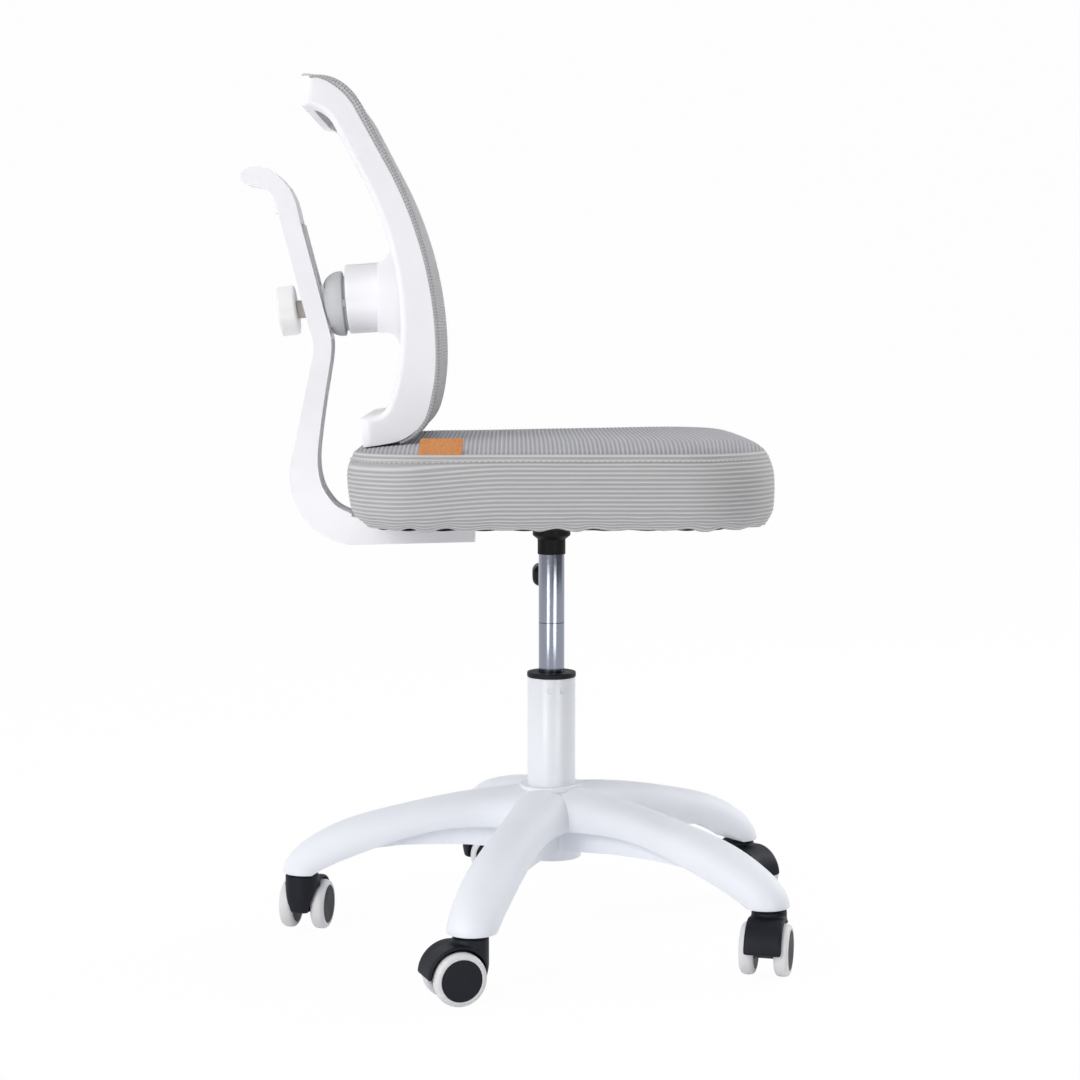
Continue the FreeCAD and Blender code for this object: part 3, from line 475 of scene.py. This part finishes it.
# Seat: ribbed top panel, ribbed side band, topstitch, dust cloth, side tab
seat = {
    "rear": -195.0, "front": 210.0, "half": 203.0, "rearCorner": 72.0, "frontCorner": 92.0,
    "bow": 8.0, "bowMiddle": 0.32, "bowX": (110.0, 200.0), "frontX": (90.0, 205.0), "seamZ": 494.0, "seamInset": 6.2,
    "pitch": 4.12, "ribHigh": 0.55, "ribPower": 2.0, "ribSink": 6.0, "sinkX": (40.0, 155.0),
    "broad": 0.7, "broadWaves": (9, 4), "broadShift": 0.5, "hemWaves": 39,
}
panel = {
    "inset": 0.4, "perRib": 8.0, "tip": 5.0, "tipTurn": (0.02, 1.2), "tips": 16, "rows": 66, "crowd": 0.35,
    "sink": 0.6, "roll": 3.2, "rollReach": 2.2, "crown": 9.4, "crownReach": (190.0, 48.0), "crownX": (-150.0, 170.0),
    "crownPower": 2.7, "dent": 0.35, "dentX": 31.0, "dentY": 43.0, "dentShift": 1.3, "dentIn": (5.0, 40.0),
    "lean": 2.2, "leanReach": 45.0, "ribIn": (-1.0, 4.0), "skirt": 6.0,
}
wall = {
    "z": [425.0, 433.0, 447.0, 465.0, 481.0, 494.0], "inset": [19.0, 9.0, 2.4, 0.2, 0.9, 6.2],
    "frontInset": [9.0, 3.2, 0.2, 0.0, 2.4, 8.4], "samples": 400, "turns": 500, "rows": 150, "curlRows": 7,
    "seamHigh": 1.5, "seamTurn": 0.8, "seamIn": 3.2, "seamRun": 3.0, "tuckHigh": 0.8, "tuckIn": 24.0,
    "hemFrom": 58.0, "ribIn": (-1.0, 4.0), "ribOut": (70.0, 76.0), "sinkIn": (4.0, 16.0), "inward": 10.0,
    "ripple": 0.5, "rippleShift": 0.4, "rippleIn": (40.0, 72.0), "pucker": 0.8, "puckerHalf": 1.6,
}
hem = {
    "high": 1.9, "drift": 1.1, "drifts": 5, "mean": 0.65, "vary": 0.35, "varies": 11, "varyShift": 0.7,
    "legX": (150.0, 165.0), "legY": (28.0, 42.0), "legLift": 0.6,
}
stitch = {
    "down": 5.2, "step": 5.3, "long": 3.3, "radius": 0.55, "sides": 8, "samples": 200, "follow": 0.25, "proud": 0.3,
    "along": [-0.5, -0.42, -0.2, 0.0, 0.2, 0.42, 0.5], "thick": [0.02, 0.7, 1.0, 1.0, 1.0, 0.7, 0.02],
}
dust = {
    "turns": 420, "rings": 40, "inset": 20.5, "middle": 7.5, "z": 424.55, "ripple": 0.55, "rippleShift": 2.6,
    "edge": 0.12, "sag": 0.25, "sagX": 17.0, "sagY": 23.0, "sagIn": (0.05, 0.2),
}
tab = {
    "x": (-126.5, -86.0), "low": 489.5, "high": 510.2, "y": -195.4, "lean": 1.6, "leanPower": 1.6, "skew": 3.4,
    "skewLess": 0.5, "wave": 0.35, "waveTurn": 7.0, "columns": 36, "rows": 16, "thick": 1.1, "edge": 0.35,
}


def waves(count, turn, shift=0.0):
    return np.sin(2 * math.pi * count * turn + shift)


def broadWave(turn):
    # slow swell of the side band round the seat
    first, second = seat["broadWaves"]
    return seat["broad"] * waves(first, turn, seat["broadShift"]) * waves(second, turn)


def frontBow(x, y):
    # how far the front edge stands out at its middle and back at its corners
    return seat["bow"] * (seat["bowMiddle"] - (y / seat["half"]) ** 2) * ease(x, *seat["bowX"])


def frontShare(x):
    # 0 along the sides, 1 at the front edge
    return ease(x, *seat["frontX"])


def rimPoints(turn, inset):
    # rounded rectangle: turn 0-1 runs along the outline at inset 0, offset inwards by inset
    s = seat
    x0, x1, y1 = s["rear"], s["front"], s["half"]
    rf, rr = s["frontCorner"], s["rearCorner"]
    runs = [(x1, -(y1 - rf), x1, y1 - rf), rf, (x1 - rf, y1, x0 + rr, y1), rr,
            (x0, y1 - rr, x0, -(y1 - rr)), rr, (x0 + rr, -y1, x1 - rf, -y1), rf]
    centres = {1: (x1 - rf, y1 - rf, 0.0), 3: (x0 + rr, y1 - rr, 0.5), 5: (x0 + rr, -(y1 - rr), 1.0),
               7: (x1 - rf, -(y1 - rf), 1.5)}
    longs = [math.hypot(r[2] - r[0], r[3] - r[1]) if isinstance(r, tuple) else r * math.pi / 2 for r in runs]
    ends = np.concatenate([[0.0], np.cumsum(longs)])
    at = np.mod(np.asarray(turn, float), 1.0) * ends[-1]
    x, y = np.zeros_like(at), np.zeros_like(at)
    outX, outY = np.zeros_like(at), np.zeros_like(at)
    for i, run in enumerate(runs):
        on = (at >= ends[i]) & (at <= ends[i + 1])
        k = np.where(on, (at - ends[i]) / longs[i], 0.0)
        if isinstance(run, tuple):
            way = np.array([run[2] - run[0], run[3] - run[1]]) / longs[i]
            px, py = run[0] + k * (run[2] - run[0]), run[1] + k * (run[3] - run[1])
            nx, ny = np.full_like(at, way[1]), np.full_like(at, -way[0])
        else:
            cx, cy, start = centres[i]
            angle = (start + k * 0.5) * math.pi
            nx, ny = np.cos(angle), np.sin(angle)
            px, py = cx + run * nx, cy + run * ny
        x, y = np.where(on, px, x), np.where(on, py, y)
        outX, outY = np.where(on, nx, outX), np.where(on, ny, outY)
    x, y = x - inset * outX, y - inset * outY
    return x + frontBow(x, y), y, ends[-1]


def insideDepth(x, y, inset):
    # distance from a point inside the rounded rectangle to its edge
    s = seat
    r = np.where(x > 0, s["frontCorner"], s["rearCorner"]) - inset
    ex = np.where(x > 0, s["front"] - inset - x, x - s["rear"] - inset)
    ey = s["half"] - inset - np.abs(y)
    inCorner = (ex < r) & (ey < r)
    toArc = r - np.hypot(r - ex, r - ey)
    return np.maximum(np.where(inCorner, toArc, np.minimum(ex, ey)), 0.0)


def rimWay(x, y, inset):
    # direction from a point near the front straight out to the edge
    s = seat
    r = s["frontCorner"] - inset
    ex, ey = s["front"] - inset - x, s["half"] - inset - np.abs(y)
    inCorner = (ex < r) & (ey < r)
    far = np.maximum(np.hypot(r - ex, r - ey), 1e-6)
    wayX = np.where(inCorner, (r - ex) / far, ex < ey)
    wayY = np.where(inCorner, (r - ey) / far, ex >= ey)
    return wayX, wayY * np.sign(y)


def ribDrop(x):
    # the ribs sink a little towards the rear
    return -seat["ribSink"] * ease(-x, *seat["sinkX"])


def ridge(phase):
    # low round ridge between wider flats
    return (0.5 + 0.5 * np.cos(2.0 * math.pi * phase)) ** seat["ribPower"]


def topPanel():
    # height over x and y: dome by depth from the edge; columns run along each rib
    s, p = seat, panel
    inset = s["seamInset"] + p["inset"]
    x0, x1 = s["rear"] + inset, s["front"] - inset
    fine = np.arange(x0, x1, s["pitch"] / p["perRib"])
    tips = p["tip"] * (1.0 - np.cos(np.linspace(*p["tipTurn"], p["tips"])))
    xs = np.unique(np.round(np.concatenate([fine, [x1], x0 + tips, x1 - tips]), 3))
    edge = np.zeros_like(xs) + s["half"] - inset
    for end, sign, corner in ((x1, 1.0, s["frontCorner"]), (x0, -1.0, s["rearCorner"])):
        r = corner - inset
        k = np.clip((xs - (end - sign * r)) * sign, 0.0, r)
        edge = np.where(k > 0, s["half"] - inset - r + np.sqrt(np.maximum(r * r - k * k, 0.0)), edge)
    crowded = np.sin(np.linspace(-math.pi / 2, math.pi / 2, p["rows"]))
    across = crowded * p["crowd"] + np.linspace(-1, 1, p["rows"]) * (1.0 - p["crowd"])
    x = np.repeat(xs[:, None], len(across), 1)
    y = edge[:, None] * across[None, :]
    d = insideDepth(x, y, inset)
    rearReach, frontReach = p["crownReach"]
    reach = rearReach + (frontReach - rearReach) * ease(x, *p["crownX"])
    rise = 1.0 - (1.0 - np.minimum(d, reach) / reach) ** p["crownPower"]
    z = s["seamZ"] - p["sink"] + p["roll"] * (1.0 - np.exp(-d / p["rollReach"])) + p["crown"] * rise
    z = z + p["dent"] * np.sin(x / p["dentX"] + p["dentShift"]) * np.sin(y / p["dentY"]) * ease(d, *p["dentIn"])
    lean = p["lean"] * frontShare(x) * (1.0 - ease(d, 0.0, p["leanReach"]))
    wayX, wayY = rimWay(x, y, inset)
    base = np.stack([x - lean * wayX + frontBow(x, y), y - lean * wayY, z], -1)
    normal = gridNormals(base)
    normal = normal * np.sign(normal[..., 2:3])
    lift = s["ribHigh"] * (ridge(x / s["pitch"]) - 0.5) * ease(d, *p["ribIn"])
    pad = np.pad(base + normal * lift[..., None], ((1, 1), (1, 1), (0, 0)), mode="edge")
    pad[[0, -1], :, 2] -= p["skirt"]
    pad[:, [0, -1], 2] -= p["skirt"]
    # second UV value counts ribs, read by the knit's painted rib highlight and shade
    uv = np.stack([np.pad(y, 1, mode="edge") * mm, np.pad(x, 1, mode="edge") / s["pitch"]], -1)
    return piece("seatTopPanel", pad, gridFaces(*pad.shape[:2]), "seat", topKnit, uv)


def wallProfile(count):
    # points down the wall at even steps: z, inset, run from the seam, and how much fuller the front is
    w = wall
    z = np.linspace(seat["seamZ"], w["z"][0], w["samples"])
    inset = through(w["z"], w["inset"], z)
    fuller = inset - through(w["z"], w["frontInset"], z)
    run = np.concatenate([[0.0], np.cumsum(np.hypot(np.diff(z), np.diff(inset)))])
    even = np.linspace(0.0, run[-1], count)
    return np.interp(even, run, z), np.interp(even, run, inset), even, np.interp(even, run, fuller)


def hemWave(turn, x, y):
    # scalloped lower edge, uneven from lobe to lobe, level over the upright's leg
    h = hem
    lobes = waves(seat["hemWaves"], turn, h["drift"] * waves(h["drifts"], turn))
    size = h["mean"] + h["vary"] * waves(h["varies"], turn, h["varyShift"])
    leg = ease(-x, *h["legX"]) * (1.0 - ease(np.abs(y), *h["legY"]))
    return h["high"] * lobes * size * (1.0 - leg) + h["legLift"] * leg


def sideBand():
    # wall profile carried round the outline, rolled in at the seam and tucked under at the hem
    s, w = seat, wall
    z, inset, run, fuller = wallProfile(w["rows"])
    curl = np.linspace(0.0, 1.0, w["curlRows"])[1:]
    seamZ = s["seamZ"] + w["seamHigh"] * np.sin(curl * math.pi * w["seamTurn"])
    seamInset = w["inset"][-1] + w["seamIn"] * curl
    tuckZ = w["z"][0] + w["tuckHigh"] * np.sin(curl * math.pi / 2)
    tuckInset = w["inset"][0] + w["tuckIn"] * curl
    z = np.concatenate([seamZ[::-1], z, tuckZ])
    inset = np.concatenate([seamInset[::-1], inset, tuckInset])
    run = np.concatenate([-w["seamRun"] * curl[::-1], run, run[-1] + w["tuckIn"] * curl])
    fuller = np.concatenate([fuller[0] + 0 * curl, fuller, fuller[-1] * (1.0 - ease(curl, 0.0, 1.0))])
    turn = np.repeat((np.arange(w["turns"]) / w["turns"])[:, None], len(z), 1)
    edgeX, edgeY, around = rimPoints(turn, 0.0)
    innerX, innerY, _ = rimPoints(turn, w["inward"])
    x, y, _ = rimPoints(turn, inset[None, :] - fuller[None, :] * frontShare(edgeX))
    low = ease(run[None, :], w["hemFrom"], run[-1] - w["tuckIn"])
    base = np.stack([x, y, z[None, :] + hemWave(turn, x, y) * low], -1)
    normal = gridNormals(base, wrapU=True)
    outward = np.stack([edgeX, edgeY], -1) - np.stack([innerX, innerY], -1)
    normal = normal * np.sign(np.sum(normal[..., :2] * outward, -1, keepdims=True) + 1e-9)
    ribbed = ease(run, *w["ribIn"]) * (1.0 - ease(run, *w["ribOut"]))
    phase = (run[None, :] + ribDrop(x) * ease(run, *w["sinkIn"])[None, :]) / s["pitch"]
    lift = s["ribHigh"] * (ridge(phase) - 0.5) * ribbed[None, :]
    ripple = w["ripple"] * waves(s["hemWaves"], turn, w["rippleShift"]) * ease(run, *w["rippleIn"])[None, :]
    pucker = -w["pucker"] * np.exp(-((run[None, :] - stitch["down"]) / w["puckerHalf"]) ** 2)
    broad = broadWave(turn) * ribbed[None, :]
    base = base + normal * (lift + ripple + pucker + broad)[..., None]
    # second UV value is the rib phase, read by the knit's painted rib highlight and shade
    uv = np.stack([turn * around * mm, phase], -1)
    faces = gridFaces(w["turns"], len(z), wrapU=True, flip=True)
    return piece("seatSideBand", base, faces, "seat", sideKnit, uv, ["seat_cover", "seat_foam"])


def topStitch():
    # short rounded dashes laid round the band below the seam
    s = stitch
    z, inset, run, fuller = wallProfile(s["samples"])
    around = rimPoints(np.zeros(1), 0.0)[2]
    count = int(around / s["step"])
    middle = (np.arange(count) + 0.5) / count
    along, thick = np.array(s["along"]), np.array(s["thick"]) * s["radius"]
    angle = np.linspace(0.0, 2 * math.pi, s["sides"], endpoint=False)
    turn = middle[:, None] + along[None, :] * s["long"] / around
    x, y, _ = rimPoints(turn, 0.0)
    innerX, innerY, _ = rimPoints(turn, 1.0)
    out = np.stack([x - innerX, y - innerY, np.zeros_like(x)], -1)
    down = s["down"] - ribDrop(x) * s["follow"]
    depth = np.interp(down, run, inset) - np.interp(down, run, fuller) * frontShare(x)
    centre = np.stack([x, y, np.interp(down, run, z)], -1) - out * (depth - s["proud"] - broadWave(turn))[..., None]
    up = np.array([0.0, 0.0, 1.0])
    ring = out[:, :, None, :] * np.cos(angle)[:, None] + up * np.sin(angle)[:, None]
    points = centre[:, :, None, :] + ring * thick[None, :, None, None]
    n, rows, cols = points.shape[:3]
    one = gridFaces(rows, cols, wrapV=True)
    faces = (one[None] + (np.arange(n) * rows * cols)[:, None, None]).reshape(-1, 4)
    piece("seatTopStitch", points, faces, "seat", threadGrey)


def dustCloth():
    # thin cloth under the board, its edge rippling where the hem lifts
    d = dust
    turn = (np.arange(d["turns"]) / d["turns"])[:, None]
    k = np.linspace(0.0, 1.0, d["rings"])
    x, y, _ = rimPoints(turn, d["inset"] + 0 * k[None, :])
    x, y = x * (1 - k) + d["middle"] * k, y * (1 - k)
    ripple = d["ripple"] * waves(seat["hemWaves"], turn, d["rippleShift"]) * (1 - ease(k, 0.0, d["edge"]))
    z = d["z"] + ripple - d["sag"] * np.sin(x / d["sagX"]) * np.cos(y / d["sagY"]) * ease(k, *d["sagIn"])
    faces = gridFaces(d["turns"], d["rings"], wrapU=True, flip=True)
    cloth = piece("dustCloth", np.stack([x, y, z], -1), faces, "seat", dustFelt,
                  np.stack([x, y], -1) * mm, ["dust_cover"])


def sideTab():
    # bare leather tab sewn into the seam: grid of width by height, leaning in at the top
    t = tab
    u, v = np.meshgrid(np.linspace(0, 1, t["columns"]), np.linspace(0, 1, t["rows"]), indexing="ij")
    x = t["x"][0] + u * (t["x"][1] - t["x"][0]) + t["skew"] * v * (1 - t["skewLess"] * u)
    z = t["low"] + v * (t["high"] - t["low"])
    y = t["y"] + t["lean"] * v ** t["leanPower"] + t["wave"] * np.sin(u * t["waveTurn"]) * v
    obj = piece("sideTab", np.stack([x, y, z], -1), gridFaces(t["columns"], t["rows"]), "seat",
                tabLeather, np.stack([x, z], -1) * mm, ["side_label"])
    solid = obj.modifiers.new("thick", "SOLIDIFY")
    solid.thickness = t["thick"] * mm
    solid.offset = 0.0
    soft = obj.modifiers.new("edge", "BEVEL")
    soft.width = t["edge"] * mm
    soft.segments = 2


top = topPanel()
band = sideBand()
topStitch()
dustCloth()
sideTab()
print("seat dressed")

# Backrest: knitted spacer mesh stretched over the ring and wrapped round its edges
back = {
    "start": (-179.3, 499.0), "heading": 7.0, "arcs": [(400.0, 3.9), (45.3, 59.65), (151.0, 19.25), (367.5, 29.3)],
    "straight": 57.9, "top": (57.3, 60.9), "step": 2.5, "half": 140.0, "proud": 0.9, "front": -3.6, "corner": 2.4,
    "squash": 0.9, "outAt": [0.0, 0.07, 0.16, 0.26, 0.38, 0.5, 0.7, 0.88, 0.95, 1.0],
    "out": [0.0, 1.2, -0.3, -0.9, -0.6, 0.0, 1.5, 3.2, 2.3, -2.4], "fromHeading": 20.0, "skipHigh": 6.0,
    "wrap": 2.6, "wrapLow": -1.0, "wrapIn": (0.0, 0.16), "wrapOut": (0.9, 1.0), "wrapLess": 0.75, "wrapLeast": 0.3,
    "tuck": 1.3, "tuckIn": (0.72, 1.0), "sag": 1.6, "sagHalf": 118.0, "thick": 1.0,
    "flatPoints": 72, "bendPoints": 9, "wrapPoints": 8,
}


def bandLine(step):
    # arcs and a straight run joined end to end, sampled every step millimetres: x, z, heading
    px, pz = back["start"]
    h = math.radians(back["heading"])
    rows = []
    for r, a, length in [(*arc, 0.0) for arc in back["arcs"]] + [(0.0, 0.0, back["straight"]), (*back["top"], 0.0)]:
        if length:
            t = np.arange(0.0, length, step)
            rows.append((px + t * math.cos(h), pz + t * math.sin(h), np.full_like(t, h)))
            px, pz = px + length * math.cos(h), pz + length * math.sin(h)
            continue
        cx, cz = px - math.sin(h) * r, pz + math.cos(h) * r
        t = np.arange(0.0, math.radians(a), step / r)
        rows.append((cx + r * np.sin(h + t), cz - r * np.cos(h + t), h + t))
        h += math.radians(a)
        px, pz = cx + r * math.sin(h), cz - r * math.cos(h)
    x, z, headings = np.concatenate(rows, 1)
    return np.append(x, px), np.append(z, pz), np.append(headings, h)


def backMesh():
    # cross-section: flat front with round edges wrapped back over the sides, carried up the band's line
    b = back
    x, z, h = bandLine(b["step"])
    keep = (h > math.radians(b["fromHeading"])) & (h < h[-1] - math.radians(b["skipHigh"]))
    x, z, h = x[keep], z[keep], h[keep]
    share = np.linspace(0.0, 1.0, len(x))
    wrap = b["wrap"] * ease(share, *b["wrapIn"]) * (1.0 - b["wrapLess"] * ease(share, *b["wrapOut"])) + b["wrapLow"]
    out = through(b["outAt"], b["out"], share)[:, None]
    halfY = b["half"] + b["proud"]
    flatY = (halfY - b["corner"]) * np.linspace(-1.0, 1.0, b["flatPoints"])
    bend = np.linspace(0.0, math.pi / 2, b["bendPoints"])[1:]
    bendY = halfY - b["corner"] + b["corner"] * np.sin(bend)
    bendIn = b["front"] + b["corner"] * (1.0 - np.cos(bend)) * b["squash"]
    k = np.linspace(0.0, 1.0, b["wrapPoints"])
    start = bendIn[-1] - out
    wrapIn = start + k[None, :] * (np.maximum(wrap[:, None], start + b["wrapLeast"]) - start)
    wrapY = halfY - b["tuck"] * ease(k, *b["tuckIn"])
    rightY = np.concatenate([bendY, wrapY])
    rightIn = np.concatenate([bendIn[None, :] - out, wrapIn], 1)
    yAll = np.concatenate([-rightY[::-1], flatY, rightY])
    inAll = np.concatenate([rightIn[:, ::-1], np.full_like(flatY, b["front"])[None, :] - out, rightIn], 1)
    hollow = np.cos(np.clip(yAll / b["sagHalf"], -1, 1) * math.pi / 2) ** 2
    inAll = inAll + b["sag"] * hollow * np.sin(math.pi * share)[:, None]
    points = np.stack([x[:, None] - np.sin(h)[:, None] * inAll, np.repeat(yAll[None, :], len(x), 0),
                       z[:, None] + np.cos(h)[:, None] * inAll], -1)
    along = np.concatenate([[0.0], np.cumsum(np.hypot(np.diff(x), np.diff(z)))])
    across = np.concatenate([[0.0], np.cumsum(np.hypot(np.diff(yAll), np.diff(inAll[len(x) // 2])))])
    uv = np.stack(np.meshgrid(along, across, indexing="ij"), -1) * mm
    obj = piece("backMesh", points, gridFaces(*points.shape[:2], flip=True), "backrest", meshKnit, uv,
                ["back_mesh"])
    solid = obj.modifiers.new("thick", "SOLIDIFY")
    solid.thickness = b["thick"] * mm
    solid.offset = -1.0


backMesh()
print("backrest dressed")

# Floor, light and camera
sweep = {
    "tone": tone(250, 250, 251), "glow": 0.97, "front": -9000.0, "flat": (-3000.0, 2500.0), "flatRows": 20,
    "bend": 2500.0, "bendRows": 60, "back": 5000.0, "high": 9000.0, "half": 12000.0, "columns": 9,
}
lamps = {
    "keyLight": {"place": (-1.9, -2.1, 2.1), "aim": (0.0, -0.1, 0.5), "size": (1.8, 1.8), "power": 40.0},
    "topLight": {"place": (0.3, 0.3, 2.9), "aim": (0.0, 0.0, 0.5), "size": (1.8, 1.8), "power": 11.0},
    "rimLight": {"place": (2.0, 1.1, 1.4), "aim": (0.0, 0.0, 0.5), "size": (1.0, 1.4), "power": 24.0},
}
strips = {"places": [(-0.54, -0.84), (0.45, -0.89)], "z": 0.21, "size": (0.40, 0.38), "power": 2.2}
air = {"strength": 0.68, "darkWay": (0.80, -0.60, 0.0), "darkShare": 0.75, "darkFrom": 0.35, "darkTo": 0.95}
shot = {
    "place": (-0.04307, -2.2649, 0.6097), "yaw": 0.0139, "pitch": 0.0928, "lens": 75.63, "sensor": 36.0, "far": 60.0,
}


def studioFloor():
    # pale sweep: flat under the chair, rising far behind it
    s = sweep
    k = np.linspace(0.0, 1.0, s["bendRows"]) * math.pi / 2
    y = np.concatenate([[s["front"]], np.linspace(*s["flat"], s["flatRows"]), s["flat"][1] + s["bend"] * np.sin(k),
                        [s["back"]]])
    z = np.concatenate([[0.0], np.zeros(s["flatRows"]), s["bend"] * (1 - np.cos(k)), [s["high"]]])
    xs = np.linspace(-s["half"], s["half"], s["columns"])
    points = np.stack([np.repeat(xs[:, None], len(y), 1), np.repeat(y[None], len(xs), 0),
                       np.repeat(z[None], len(xs), 0)], -1)
    mesh = bpy.data.meshes.new("studioFloor")
    mesh.from_pydata((points.reshape(-1, 3) * mm).tolist(), [], gridFaces(len(xs), len(y)).tolist())
    mesh.shade_smooth()
    obj = bpy.data.objects.new("studioFloor", mesh)
    bpy.context.scene.collection.objects.link(obj)
    f = Finish("paleSweep", s["tone"], 0.9, Specular_IOR_Level=0.1)
    light = f.add("LightPath")
    seen = f.calc("MAXIMUM", light.outputs["Is Camera Ray"], light.outputs["Is Glossy Ray"])
    glow = f.add("Emission", {"Color": (1, 1, 1, 1), "Strength": 1.0})
    both = f.add("MixShader", {0: f.calc("MULTIPLY", seen, s["glow"]), 1: f.shader.outputs[0], 2: glow.outputs[0]})
    f.tree.links.new(both.outputs[0], f.tree.nodes["Material Output"].inputs["Surface"])
    mesh.materials.append(f.mat)


def softLight(name, place, aim, size, power):
    lamp = bpy.data.lights.new(name, "AREA")
    lamp.shape = "RECTANGLE"
    lamp.size, lamp.size_y = size
    lamp.energy = power
    obj = bpy.data.objects.new(name, lamp)
    bpy.context.scene.collection.objects.link(obj)
    way = np.array(aim, float) - np.array(place, float)
    obj.location = place
    obj.rotation_euler = Vector(way).to_track_quat("-Z", "Y").to_euler()
    return obj


def studioAir():
    # even light from all round, weaker from one side
    world = bpy.data.worlds.new("studioAir")
    bpy.context.scene.world = world
    world.use_nodes = True
    sky, wires = world.node_tree.nodes, world.node_tree.links
    way = sky.new("ShaderNodeTexCoord")
    lean = sky.new("ShaderNodeVectorMath")
    lean.operation = "DOT_PRODUCT"
    lean.inputs[1].default_value = air["darkWay"]
    fall = sky.new("ShaderNodeMapRange")
    fall.interpolation_type = "SMOOTHSTEP"
    for key, value in (("From Min", air["darkFrom"]), ("From Max", air["darkTo"]), ("To Min", air["strength"]),
                       ("To Max", air["strength"] * (1.0 - air["darkShare"]))):
        fall.inputs[key].default_value = value
    wires.new(way.outputs["Generated"], lean.inputs[0])
    wires.new(lean.outputs["Value"], fall.inputs["Value"])
    wires.new(fall.outputs["Result"], sky["Background"].inputs["Strength"])
    sky["Background"].inputs["Color"].default_value = (1.0, 1.0, 1.0, 1.0)


def photoCamera():
    lens = bpy.data.cameras.new("photoCamera")
    lens.sensor_width = shot["sensor"]
    lens.lens = shot["lens"]
    lens.clip_end = shot["far"]
    eye = bpy.data.objects.new("photoCamera", lens)
    bpy.context.scene.collection.objects.link(eye)
    eye.location = shot["place"]
    eye.rotation_euler = (math.pi / 2 - shot["pitch"], 0.0, -shot["yaw"])
    bpy.context.scene.camera = eye


studioFloor()
for name, lamp in lamps.items():
    softLight(name, **lamp)
for x, y in strips["places"]:
    # shows as a streak in the bright column and adds no light to the rest
    strip = softLight("columnStrip", (x, y, strips["z"]), (0.0, 0.0, strips["z"]), strips["size"], strips["power"])
    strip.visible_diffuse = False
    strip.visible_camera = False
studioAir()
photoCamera()
bpy.context.scene.view_settings.view_transform = "Standard"
print("studio set")
